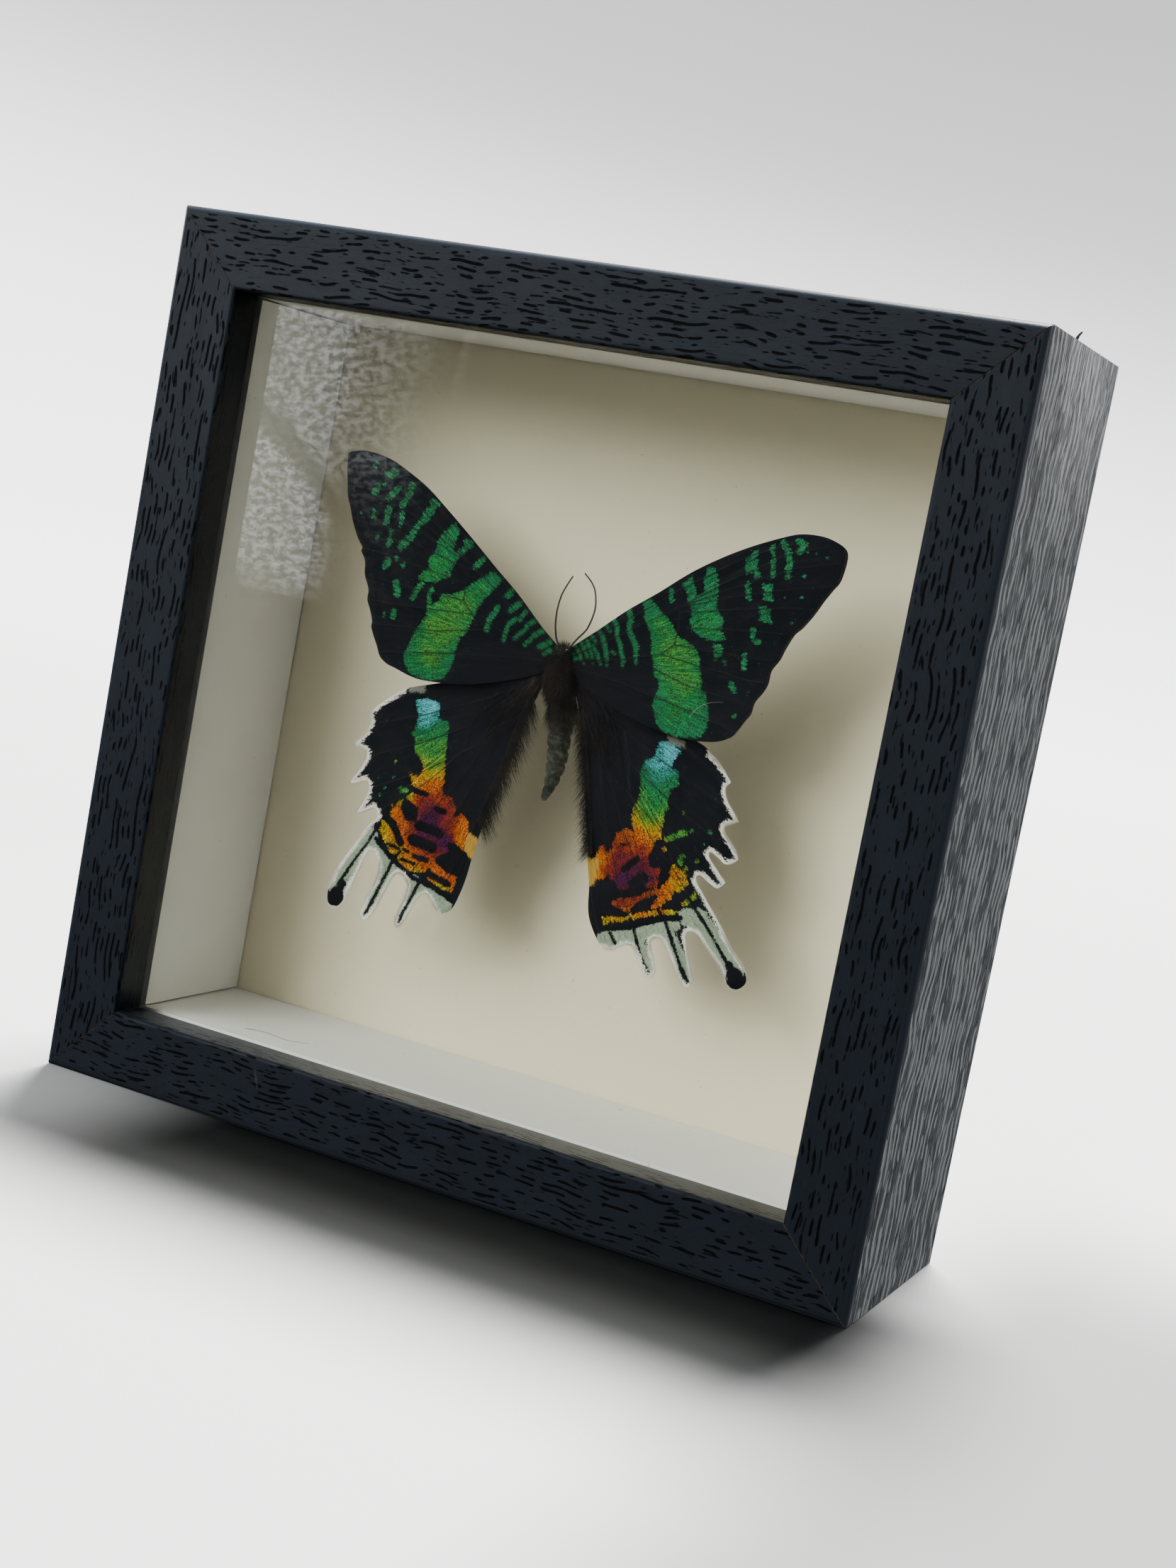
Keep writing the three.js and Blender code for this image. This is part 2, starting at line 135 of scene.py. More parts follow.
class StageSettings(bpy.types.PropertyGroup):
    lens: FloatProperty(name="Lens", description="Focal length in millimetres", default=52.19)
    paper: colour("Paper", "Colour of the floor and backdrop", (0.80, 0.805, 0.80))
    key: power("Key light", "Power of the front light", 20.0)
    top: power("Top light", "Power of the overhead light", 140.0)
    sky: FloatProperty(name="Sky", description="Strength of the even surrounding light", default=0.4)


# Node trees


class Value:
    """A node's output that takes part in arithmetic."""

    def __init__(self, tree, socket):
        self.tree = tree
        self.socket = socket

    def maths(self, operation, *others):
        return self.tree.add("ShaderNodeMath", {"operation": operation}, dict(enumerate((self, *others))))[0]

    def __add__(self, other):
        return self.maths("ADD", other)

    __radd__ = __add__

    def __sub__(self, other):
        return self.maths("SUBTRACT", other)

    def __rsub__(self, other):
        return (self * -1.0) + other

    def __mul__(self, other):
        return self.maths("MULTIPLY", other)

    __rmul__ = __mul__

    def __truediv__(self, other):
        return self.maths("DIVIDE", other)

    def __neg__(self):
        return self.maths("MULTIPLY", -1.0)

    def __abs__(self):
        return self.maths("ABSOLUTE")


class Node:
    """A node whose outputs are read by name or number."""

    def __init__(self, tree, node):
        self.tree = tree
        self.node = node

    def __getitem__(self, key):
        return Value(self.tree, self.node.outputs[key])


class Tree:
    """A node tree with one way to add a node: its type, its settings, then its sockets' values."""

    def __init__(self, tree):
        self.nodes = tree.nodes
        self.links = tree.links

    def add(self, kind, settings=None, values=None):
        node = self.nodes.new(kind)
        for name, value in (settings or {}).items():
            if name == "stops":
                self.set_stops(node.color_ramp, value)
            else:
                setattr(node, name, value)
        for key, value in (values or {}).items():
            self.feed(node.inputs[key], value)
        return Node(self, node)

    def feed(self, socket, value):
        if isinstance(value, Value):
            self.links.new(value.socket, socket)
        elif socket.type == "RGBA":
            socket.default_value = (*value[:3], 1)
        else:
            socket.default_value = value

    def vector(self, x, y, z=0.0):
        return self.add("ShaderNodeCombineXYZ", {}, {0: x, 1: y, 2: z})[0]

    def vmath(self, operation, *values):
        return self.add("ShaderNodeVectorMath", {"operation": operation}, dict(enumerate(values)))[0]

    def scale(self, vector, factor):
        return self.add("ShaderNodeVectorMath", {"operation": "SCALE"}, {0: vector, "Scale": factor})[0]

    @staticmethod
    def set_stops(ramp, stops):
        while len(ramp.elements) < len(stops):
            ramp.elements.new(0.5)
        for element, (position, shade) in zip(ramp.elements, stops):
            element.position = position
            element.color = (*shade, 1)


class Finish(Tree):
    """A material and the shader maths that paints it."""

    def __init__(self, name):
        self.material = bpy.data.materials.new(name)
        self.material.use_nodes = True
        super().__init__(self.material.node_tree)
        self.nodes.clear()
        self.output = self.nodes.new("ShaderNodeOutputMaterial")

    def place(self):
        return self.add("ShaderNodeTexCoord")["Object"]

    def attribute(self, name):
        return self.add("ShaderNodeAttribute", {"attribute_name": name})["Fac"]

    def parts(self, vector):
        node = self.add("ShaderNodeSeparateXYZ", {}, {0: vector})
        return node[0], node[1], node[2]

    def unwrapped(self, name):
        """The two coordinates, in millimetres, of a piece's own UV map."""
        return self.parts(self.add("ShaderNodeUVMap", {"uv_map": name})["UV"])[:2]

    def noise(self, vector, scale, detail=2.0, roughness=0.5):
        values = {"Vector": vector, "Scale": scale, "Detail": detail, "Roughness": roughness}
        return self.add("ShaderNodeTexNoise", {}, values)["Fac"]

    def noise_at(self, x, y, detail=2.0, roughness=0.5):
        return self.noise(self.vector(x, y), 1.0, detail, roughness)

    def cells(self, vector, scale):
        """A random value for each small cell, such as one wing scale."""
        node = self.add("ShaderNodeTexVoronoi", {}, {"Vector": vector, "Scale": scale})
        return self.parts(node["Color"])[0]

    def smooth(self, value, low, high):
        """0 below low and 1 above high, with a smooth step between."""
        settings = {"interpolation_type": "SMOOTHSTEP"}
        return self.add("ShaderNodeMapRange", settings, {0: value, 1: low, 2: high, 3: 0.0, 4: 1.0})[0]

    def fade(self, value, low, high):
        """1 below low and 0 above high."""
        return 1.0 - self.smooth(value, low, high)

    def mix(self, factor, first, second):
        return self.add("ShaderNodeMix", {"data_type": "RGBA"}, {0: factor, 6: first, 7: second})[2]

    def shade(self, tint, factor):
        """A colour made darker or lighter by a number."""
        return self.scale(tint, factor)

    def bump(self, height, distance, strength=1.0):
        values = {"Height": height, "Distance": distance, "Strength": strength}
        return self.add("ShaderNodeBump", {}, values)["Normal"]

    def surface(self, values):
        return self.add("ShaderNodeBsdfPrincipled", {}, values)[0]

    def finish(self, shader):
        self.links.new(shader.socket, self.output.inputs[0])
        return self.material


class Growth(Tree):
    """A Geometry Nodes group with named inputs, which ends in real mesh and one material."""

    KINDS = {float: "NodeSocketFloat", int: "NodeSocketInt", tuple: "NodeSocketVector"}

    def __init__(self, name, inputs):
        self.group = bpy.data.node_groups.new(name, "GeometryNodeTree")
        super().__init__(self.group)
        sockets = self.group.interface
        sockets.new_socket("Geometry", in_out="INPUT", socket_type="NodeSocketGeometry")
        for label, kind in inputs.items():
            sockets.new_socket(label, in_out="INPUT", socket_type=self.KINDS[kind])
        sockets.new_socket("Material", in_out="INPUT", socket_type="NodeSocketMaterial")
        sockets.new_socket("Geometry", in_out="OUTPUT", socket_type="NodeSocketGeometry")
        self.given = Node(self, self.nodes.new("NodeGroupInput"))
        self.result = self.nodes.new("NodeGroupOutput")

    def random(self, kind, low, high, seed):
        first, out = {"FLOAT_VECTOR": (0, 0), "FLOAT": (2, 1)}[kind]
        values = {first: low, first + 1: high, "Seed": seed}
        return self.add("FunctionNodeRandomValue", {"data_type": kind}, values)[out]

    def strand(self, bend):
        """One hair along Z, a unit long and a unit thick, tapered to its tip."""
        end = self.vector(bend, 0.0, 1.0)
        values = {"Resolution": 4, "Start": (0, 0, 0), "Middle": (0, 0, 0.5), "End": end}
        line = self.add("GeometryNodeCurveQuadraticBezier", {}, values)
        return self.tube(line, 1.0 - 0.85 * self.add("GeometryNodeSplineParameter")["Factor"], 3)

    def tube(self, line, radius, sides):
        """A capped tube round a curve."""
        ring = self.add("GeometryNodeCurvePrimitiveCircle", {}, {"Resolution": sides, "Radius": 1.0})
        values = {"Curve": line[0], "Profile Curve": ring[0], "Scale": radius, "Fill Caps": True}
        return self.add("GeometryNodeCurveToMesh", {}, values)[0]

    def end_with(self, shape):
        """The group's result: the shape as real mesh, in the given material."""
        solid = self.add("GeometryNodeRealizeInstances", {}, {0: shape})
        material = self.given["Material"]
        done = self.add("GeometryNodeSetMaterial", {}, {"Geometry": solid[0], "Material": material})
        self.feed(self.result.inputs[0], done[0])
        return self.group

    def plant(self, points, direction):
        """A strand at each point, turned towards its direction, with its own length."""
        given = self.given
        jitter = self.random("FLOAT_VECTOR", (-1, -1, -1), (1, 1, 1), given["Seed"])
        aim = self.vmath("ADD", direction, self.scale(jitter, given["Jitter"]))
        turn = self.add("FunctionNodeAlignRotationToVector", {"axis": "Z"}, {"Vector": aim})[0]
        share = self.random("FLOAT", 0.55, 1.0, given["Seed"] + 7)
        size = self.vector(given["Thickness"], given["Thickness"], given["Length"] * share)
        values = {"Points": points, "Instance": self.strand(given["Bend"]), "Rotation": turn, "Scale": size}
        return self.end_with(self.add("GeometryNodeInstanceOnPoints", {}, values)[0])


STRAND_INPUTS = {"Length": float, "Thickness": float, "Bend": float, "Jitter": float, "Seed": int}


def edge_hair_group():
    """Hairs that stand out from a path, as a fringe does."""
    grow = Growth("Hairs along an edge", {"Spacing": float, "Side": float, "Lean": float, **STRAND_INPUTS})
    given = grow.given
    path = grow.add("GeometryNodeMeshToCurve", {}, {"Mesh": given["Geometry"]})
    settings = {"mode": "LENGTH"}
    points = grow.add("GeometryNodeCurveToPoints", settings, {"Curve": path[0], "Length": given["Spacing"]})
    outwards = grow.vmath("CROSS_PRODUCT", tuple(FACING), points["Tangent"])
    outwards = grow.scale(outwards, given["Side"])
    swept = grow.scale(points["Tangent"], given["Lean"])
    return grow.plant(points["Points"], grow.vmath("ADD", outwards, swept))


def surface_hair_group():
    """Hairs that cover a surface and are combed one way."""
    grow = Growth("Hairs over a surface", {"Density": float, "Comb": tuple, "Rise": float, **STRAND_INPUTS})
    given = grow.given
    values = {"Mesh": given["Geometry"], "Density": given["Density"], "Seed": given["Seed"]}
    points = grow.add("GeometryNodeDistributePointsOnFaces", {"distribute_method": "RANDOM"}, values)
    raised = grow.scale(points["Normal"], given["Rise"])
    return grow.plant(points["Points"], grow.vmath("ADD", raised, given["Comb"]))


# Meshes


def add_object(name, data):
    item = bpy.data.objects.new(name, data)
    bpy.context.scene.collection.objects.link(item)
    return item


def new_piece(name, vertices, faces, materials, smooth=True, sharp_angle=None):
    mesh = bpy.data.meshes.new(name)
    mesh.from_pydata([tuple(v) for v in vertices], [], [tuple(f) for f in faces])
    for material in materials:
        mesh.materials.append(material)
    mesh.polygons.foreach_set("use_smooth", [smooth] * len(mesh.polygons))
    if sharp_angle is not None:
        work = bmesh.new()
        work.from_mesh(mesh)
        for edge in work.edges:
            edge.smooth = edge.calc_face_angle(math.pi) < sharp_angle
        work.to_mesh(mesh)
        work.free()
    mesh.update()
    return add_object(name, mesh)


def settle(piece, slot, *nodes):
    """The piece rides on the frame and stands for the given solids, which are hidden. The slot is not used.
    """
    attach(piece, "root")
    if nodes:
        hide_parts(*nodes)
    return piece


def grow_on(name, base, group, values, material):
    """The mesh that a Geometry Nodes group makes of a base, as a piece of its own."""
    modifier = base.modifiers.new("grow", "NODES")
    modifier.node_group = group
    for item in group.interface.items_tree:
        if item.in_out == "INPUT" and item.name in values:
            modifier[item.identifier] = values[item.name]
        if item.in_out == "INPUT" and item.name == "Material":
            modifier[item.identifier] = material
    bpy.context.view_layer.update()
    depsgraph = bpy.context.evaluated_depsgraph_get()
    mesh = bpy.data.meshes.new_from_object(base.evaluated_get(depsgraph), depsgraph=depsgraph)
    base.modifiers.clear()
    bpy.data.objects.remove(base)
    mesh.name = name
    return add_object(name, mesh)


def set_finish(node, material):
    """A new finish on a carried-over solid."""
    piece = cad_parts[node]
    piece.data.materials.clear()
    piece.data.materials.append(material)


# Outlines and marks


def catmull_rom(points, steps):
    """A smooth line through points, with the first and last repeated at the ends."""
    pts = np.asarray(points, float)
    padded = np.vstack([pts[:1], pts, pts[-1:]])
    line = []
    for i in range(len(pts) - 1):
        a, b, c, d = padded[i : i + 4]
        for t in np.arange(steps) / steps:
            bend = (c - a) * t + (2 * a - 5 * b + 4 * c - d) * t**2 + (3 * b - a - 3 * c + d) * t**3
            line.append(b + bend / 2)
    return np.array(line)


def outline_of(stretches, steps=6):
    lines = [catmull_rom(s, steps) for s in stretches]
    if len(stretches) == 1:
        lines.append(np.asarray(stretches[0][-1:], float))
    return np.vstack(lines)


def resampled(line, spacing, closed=True):
    pts = np.vstack([line, line[:1]]) if closed else np.asarray(line, float)
    run = np.concatenate([[0], np.cumsum(np.linalg.norm(np.diff(pts, axis=0), axis=1))])
    count = max(3, round(run[-1] / spacing))
    where = np.linspace(0, run[-1], count, endpoint=False) if closed else np.linspace(0, run[-1], count)
    return np.stack([np.interp(where, run, pts[:, k]) for k in (0, 1)], axis=1)


def distance_to_line(points, line, closed=False):
    """Distance from each point to a chain of straight stretches."""
    a = np.asarray(line, float)
    b = np.roll(a, -1, axis=0) if closed else a[1:]
    a = a if closed else a[:-1]
    best = np.full(len(points), np.inf)
    for p, q in zip(a, b):
        d = q - p
        t = np.clip(((points - p) @ d) / max(d @ d, 1e-12), 0, 1)
        best = np.minimum(best, np.linalg.norm(points - (p + t[:, None] * d), axis=1))
    return best


def inside(points, polygon):
    x, y = points[:, 0], points[:, 1]
    result = np.zeros(len(points), bool)
    for (x0, y0), (x1, y1) in zip(polygon, np.roll(polygon, -1, axis=0)):
        if y0 == y1:
            continue
        crosses = ((y0 > y) != (y1 > y)) & (x < (x1 - x0) * (y - y0) / (y1 - y0) + x0)
        result ^= crosses
    return result


def patch(points, corners):
    """Signed distance into a patch: positive inside its outline."""
    ring = np.asarray(corners, float)
    far = distance_to_line(points, ring, closed=True)
    return np.where(inside(points, ring), far, -far)


def stroke(points, line, half_width):
    """Signed distance into a stroke along a line, or into a spot at a single point."""
    if len(line) == 1:
        return half_width - np.linalg.norm(points - np.asarray(line[0], float), axis=1)
    return half_width - distance_to_line(points, line)


def cover(points, patches, strokes):
    """How deep each point lies in the union of patches and strokes, in millimetres."""
    depth = np.full(len(points), -9.0)
    for corners in patches:
        depth = np.maximum(depth, patch(points, corners))
    for half_width, line in strokes:
        depth = np.maximum(depth, stroke(points, line, half_width))
    return depth


def tint_field(points, tints):
    """A smooth field through listed tints (u, v, place on the colour ramp)."""
    total = np.zeros(len(points))
    weight = np.zeros(len(points))
    for u, v, key in tints:
        near = 1.0 / (np.hypot(points[:, 0] - u, points[:, 1] - v) + 0.4) ** 3
        total += near * key
        weight += near
    return total / weight


# Everything about a wing is in millimetres: outwards from the body's axis, then up from the wing bases.
# An outline is a list of smooth stretches that meet in corners.
# Bands and the dark and tan patches are outlines too. Dashes, spots, rays and pale marks are
# (half width, line).
# A tint is a place and how far along GLOW_STOPS its hue lies. A club is the round end of the long tail.

FOREWING_VEINS = [
    [(1, 1.8), (10, 8.7), (20, 16.2), (30, 22.9), (37, 26)],
    [(1.5, 1.2), (10, 6.5), (19, 12.5), (26, 17.5), (36, 24), (43, 26.6)],
    [(19, 12.5), (28, 17.3), (38, 22.2), (45.5, 24.5)],
    [(19, 12.5), (30, 16.5), (40, 19.5), (45, 20.6)],
    [(19.5, 11.8), (30, 14.2), (38, 15.9), (42.5, 16.5)],
    [(19.8, 9.5), (28, 10.6), (36, 11.6), (40, 12)],
    [(19.5, 6.6), (26, 6.7), (34, 7.1), (38.3, 7.6)],
    [(17.5, 4.6), (26, 4), (33, 3.5), (37, 3.5)],
    [(13.5, 2.8), (24, 0.5), (35.5, -0.4)],
    [(1.5, 0.4), (10, 2.2), (17.5, 4.6), (19.5, 6.6), (19.8, 9.5), (19.5, 11.8), (19, 12.5)],
    [(1.5, -0.4), (12, -1.5), (24, -3.2), (33.6, -5)],
]
HINDWING_VEINS = [
    [(3, -3), (14, -6.5), (25, -9.6), (32, -14)],
    [(3, -3.5), (13, -9), (24, -14), (34, -18)],
    [(13, -9), (15, -14), (24, -19), (33.5, -23.5)],
    [(15, -14), (16, -19), (23, -24), (32.5, -29)],
    [(16, -19), (21, -25), (27, -30), (31, -34.5), (36, -40), (40, -44)],
    [(11.5, -16), (16, -25), (21, -32), (26.5, -38), (32, -47)],
    [(9, -13), (13, -25), (17, -34), (21.3, -41), (25.3, -47.4)],
    [(3, -4), (9, -13), (11.5, -16), (16, -19)],
    [(4, -8), (9, -24), (13, -38), (16, -44)],
]

RIGHT_FOREWING = {
    "outline": [
        [
            (0.5, 2.2), (5, 6), (10, 10.5), (15, 14.3), (20, 18.3), (25, 21.6), (30, 24.4), (35, 26.7),
            (38, 27.7), (41.5, 27.9), (44, 27.4), (45.7, 26.6), (46.3, 25.4), (46.2, 23.3), (45.8, 21.3),
            (45, 20), (43.8, 17.9), (42.9, 16), (41.3, 13.4), (40.1, 12), (39, 9.5), (38.4, 7.6),
            (37.3, 5.7), (37.2, 3.6), (36.6, 2.1), (35.6, 0.35), (35.3, -1.6), (34.5, -3), (33.4, -5.1),
            (32.5, -6.1), (30.6, -7.1), (28, -7.65), (24.8, -7.9), (18, -7.4), (12, -6), (6, -3.8),
            (2.5, -2),
        ],
    ],
    "veins": FOREWING_VEINS,
    "fringe": [(45.7, 26.6), (32.5, -6.1)],
    "bands": [
        [
            (12.5, 12.2), (13.2, 10.8), (13.2, 10), (14, 9), (15, 7.5), (15.5, 6), (15.8, 4.5), (16.5, 3),
            (17, 1.2), (18.3, 0), (18.5, -1), (18.2, -2), (17.9, -3.8), (18.5, -5), (19, -6.3),
            (20.5, -7.5), (22, -7.8), (25, -7.7), (27.5, -7), (28.2, -5), (28, -3), (27.3, -1.5),
            (27, -0.3), (26, 0.5), (25.5, 2), (24.8, 4), (24.3, 5.8), (22.8, 7), (20, 8), (18, 10),
            (16, 11.5), (14.5, 12.5), (13.7, 12.9),
        ],
        [
            (19, 16.4), (20.5, 17.8), (21.5, 16), (22, 14.9), (23.1, 15.2), (23.2, 16.5), (22.8, 18),
            (23.2, 19.6), (24.3, 19.9), (25.4, 18), (25.6, 16), (25.8, 14), (26.5, 12.8), (27.5, 12),
            (27.5, 10), (28.5, 9.1), (27, 8.7), (25, 8.5), (24, 8.8), (22.5, 9.5), (21.5, 10.7),
            (21.7, 12), (21.3, 13), (20.5, 14), (20, 15.5),
        ],
        [(26.5, 8), (28.2, 8), (28.3, 6.8), (28, 6), (27.2, 5.4), (27, 6.5)],
        [(29.5, 22.5), (31.4, 22.4), (31.6, 21), (32.4, 20), (31.5, 19.6), (31, 20.5), (30, 20), (29.6, 21)],
        [(33, 18.8), (34.6, 19.2), (35, 17.5), (35.2, 16.6), (33.6, 16.6), (33.8, 18)],
        [(33, 15.4), (35.4, 15.3), (35.2, 14), (35.8, 13.1), (33.4, 13), (33.8, 14.2)],
    ],
    "dashes": [
        (0.35, [(29, 5.6)]), (0.6, [(30.7, 23.4)]), (0.45, [(30.5, 18.4), (31.2, 16.5)]),
        (0.35, [(33.5, 24.9), (33.7, 23.9)]), (0.35, [(34, 23), (34.3, 21.5), (34.6, 20.4)]),
        (0.4, [(32.8, 11.7), (33.2, 10), (34.2, 9.7)]), (0.35, [(32.2, 7.4), (32.5, 5.4)]),
        (0.4, [(30.8, 2.3), (31.5, 1.3)]), (0.5, [(35.3, 25.7), (36, 25), (36.3, 24.2)]),
        (0.5, [(37.8, 26.4), (38.8, 26), (38.3, 25)]), (0.5, [(36.8, 23.4), (37, 20.8)]),
        (0.18, [(40, 18)]), (0.18, [(39.8, 21.3)]), (0.2, [(39.5, 25)]), (0.18, [(41, 25)]),
        (0.18, [(43, 24.8)]), (0.2, [(37.2, 17.5)]), (0.2, [(39, 13.8)]), (0.2, [(37, 10.2)]),
        (0.2, [(35, 6)]), (0.2, [(34, 1.5)]), (0.25, [(32.5, -2.6)]), (0.35, [(17.3, 15), (17.6, 13.6)]),
        (0.45, [(10.3, 10.3), (11, 9)]), (0.4, [(10.8, 8.3), (11.2, 7), (12, 6), (12.8, 5), (12.9, 4.2)]),
        (0.3, [(12.9, 4.2), (13.3, 2.5)]), (0.3, [(8, 8.4), (8.8, 7.3), (9, 6), (9.8, 4.8)]),
        (0.3, [(9.8, 4.8), (10.3, 3.6), (11, 2.3), (11, 1.5)]), (0.2, [(6.7, 7.2), (7.6, 6.5)]),
        (0.35, [(5.3, 6.4), (6.3, 5.6), (7, 4.3), (7.5, 3.2), (8, 2)]), (0.25, [(4.5, 5), (5.3, 4.4)]),
        (0.25, [(5, 3.5), (6, 2.5), (6.6, 1.5)]), (0.25, [(3.7, 4.2), (4.4, 3.3), (5.2, 1.8)]),
        (0.25, [(2.7, 3.7), (3.6, 2.6), (4.4, 1.6)]), (0.25, [(1.7, 2.9), (2.8, 1.8), (3.2, 1)]),
        (0.4, [(0.7, 2), (2.1, 0.8)]), (0.18, [(8.6, 3.4), (9.2, 3)]), (0.16, [(5.6, 0.7)]),
        (0.16, [(7, 0.8)]), (0.16, [(3.9, 0.4)]), (0.15, [(8.2, 0.9)]),
    ],
    "tints": [
        (22.5, -4, 0.29), (22.5, 1, 0.34), (20, 6, 0.35), (16.5, 9.5, 0.3), (13.7, 12, 0.17),
        (24, -7.3, 0.18), (18.6, -4, 0.2), (27.5, -4, 0.2), (24, 16, 0.2), (25, 10, 0.27),
        (20, 16.8, 0.14), (30.5, 21, 0.15), (34.5, 17, 0.14), (38, 25, 0.12), (34, 8, 0.15),
        (9, 6, 0.18), (4, 3, 0.2), (1.4, 1.4, 0.24),
    ],
}
LEFT_FOREWING = {
    "outline": [
        [
            (0.5, 1.6), (5, 5), (10, 9.4), (15, 13.1), (20, 16.9), (25, 20.6), (30, 24.1), (35, 26.6),
            (38, 27.7), (42, 28.2), (45.2, 27.5), (45.45, 26.2), (45, 23.9), (44.1, 20.2), (43.2, 18.1),
            (42.1, 15.5), (40.9, 13.3), (39.8, 12), (39.9, 11.3), (39, 9.9), (38.5, 7.5), (37.4, 5.2),
            (37.2, 3.4), (36.4, 1.8), (35.6, -0.1), (35.6, -1), (35, -2.3), (34, -4), (33, -5.8),
            (31.6, -6.7), (30, -7.1), (27, -7.9), (24, -8.1), (18, -7.5), (12, -6), (6, -3.8),
            (2.5, -2),
        ],
    ],
    "veins": FOREWING_VEINS,
    "fringe": [(45.2, 27.5), (33, -5.8)],
    "bands": [
        [
            (13.3, 11.4), (14, 10), (15, 8.8), (16, 7.3), (16.8, 6), (17, 4.5), (17.7, 3), (17.9, 1.5),
            (19, 0.3), (19.6, -1.2), (19.5, -3), (19.7, -4.3), (20.2, -5.5), (21, -7), (23, -7.7),
            (25, -7.9), (27.3, -7.3), (28.3, -5.8), (28.7, -4.8), (28.2, -3), (27.7, -1), (27.3, 0),
            (26.5, 1.5), (26, 3), (26, 4.5), (24.5, 5), (23.5, 6.8), (21.5, 7.2), (20, 8.3), (18.5, 9.7),
            (17, 10.8), (15.5, 12.2),
        ],
        [
            (22.7, 18), (23.7, 19), (24.2, 18.6), (25.5, 17), (26.2, 15.5), (26.3, 14), (27.4, 12),
            (27, 11.5), (27.6, 10), (28.8, 9), (28.5, 8.5), (25, 8.7), (24.8, 9.3), (23, 9.9),
            (22.8, 10.5), (22.8, 11.8), (22, 13), (21.8, 13.7), (23.4, 14.6), (23, 16.5),
        ],
    ],
    "dashes": [
        (0.5, [(20.2, 16), (21, 16.3)]), (0.5, [(20.8, 15.5), (22, 14)]), (0.4, [(17.3, 14), (18, 13.5)]),
        (0.4, [(18.2, 13), (18.7, 12.4)]), (0.4, [(27.5, 21.4), (28.6, 21.7)]),
        (0.7, [(28.2, 21), (29, 19.5), (29.5, 18.5)]), (0.45, [(30, 17.8), (31, 16.3)]),
        (0.6, [(31.3, 15.2), (32.3, 14.3), (33, 13.2)]), (0.45, [(32.4, 23.8), (33, 23.6)]),
        (0.5, [(32.6, 22.5), (33.2, 21.3), (33.7, 20.3)]), (0.3, [(33.6, 19), (33.5, 17)]),
        (0.5, [(35, 23), (35.7, 22), (36.5, 21)]), (0.6, [(36, 25.5), (36.8, 25)]), (0.3, [(37.5, 25)]),
        (0.45, [(36, 19.3), (36.3, 17)]), (0.5, [(38.8, 22.8), (39.2, 21.6)]), (0.25, [(37.6, 23.2)]),
        (0.3, [(39.8, 26.4), (40.1, 25.6)]), (0.3, [(35.2, 15.5), (35, 14), (35.3, 13.2)]),
        (0.5, [(34.7, 10.7), (35.2, 9.5)]), (0.4, [(32, 10.3)]), (0.3, [(33.3, 11.2)]),
        (0.5, [(32.6, 7.3), (32, 5.5)]), (0.35, [(32, 2.3), (31.9, 1.2)]), (0.25, [(33.7, 1.5)]),
        (0.3, [(38.8, 18.5), (38.7, 17.5)]), (0.2, [(41, 18)]), (0.2, [(37.5, 14.2)]), (0.2, [(34.8, 6)]),
        (0.3, [(25.7, 7.5), (26.2, 6), (25.8, 5)]), (0.45, [(28, 7.7), (28.6, 6.5), (29.1, 5.3)]),
        (0.4, [(11.2, 9.6), (11.9, 8.7)]), (0.45, [(9.5, 7.9), (10.3, 7.1), (10.8, 6.5)]),
        (0.3, [(8, 6.9), (8.6, 6), (8.9, 5.3)]), (0.35, [(6.2, 5.7), (7.2, 4.8), (7.6, 4.3)]),
        (0.3, [(7.8, 3.8), (8.8, 2.8), (9.3, 2)]), (0.4, [(4.6, 4.3), (5.9, 3.2)]),
        (0.3, [(6.4, 2.5), (7.3, 1.4)]), (0.45, [(3, 2.6), (4.6, 1.6)]), (0.35, [(2.7, 1.3), (3.6, 0.6)]),
        (0.3, [(9.6, 5.3), (10.8, 4.2), (11, 3), (11.2, 1.4)]),
        (0.4, [(13.2, 6.6), (13.8, 5.2), (14.3, 4.3), (14.5, 2.5)]),
    ],
    "tints": [
        (24, -4, 0.37), (22.5, 1, 0.37), (20, 5.5, 0.35), (17, 9.5, 0.28), (14.2, 11.2, 0.16),
        (24.5, -7.5, 0.2), (20, -4, 0.24), (28, -4, 0.24), (24.5, 16, 0.26), (26, 10, 0.3),
        (20.5, 16, 0.15), (29, 20, 0.16), (33, 14, 0.15), (36, 22, 0.13), (34, 8, 0.14),
        (10, 6, 0.17), (6, 4, 0.16), (3.8, 2, 0.2),
    ],
}
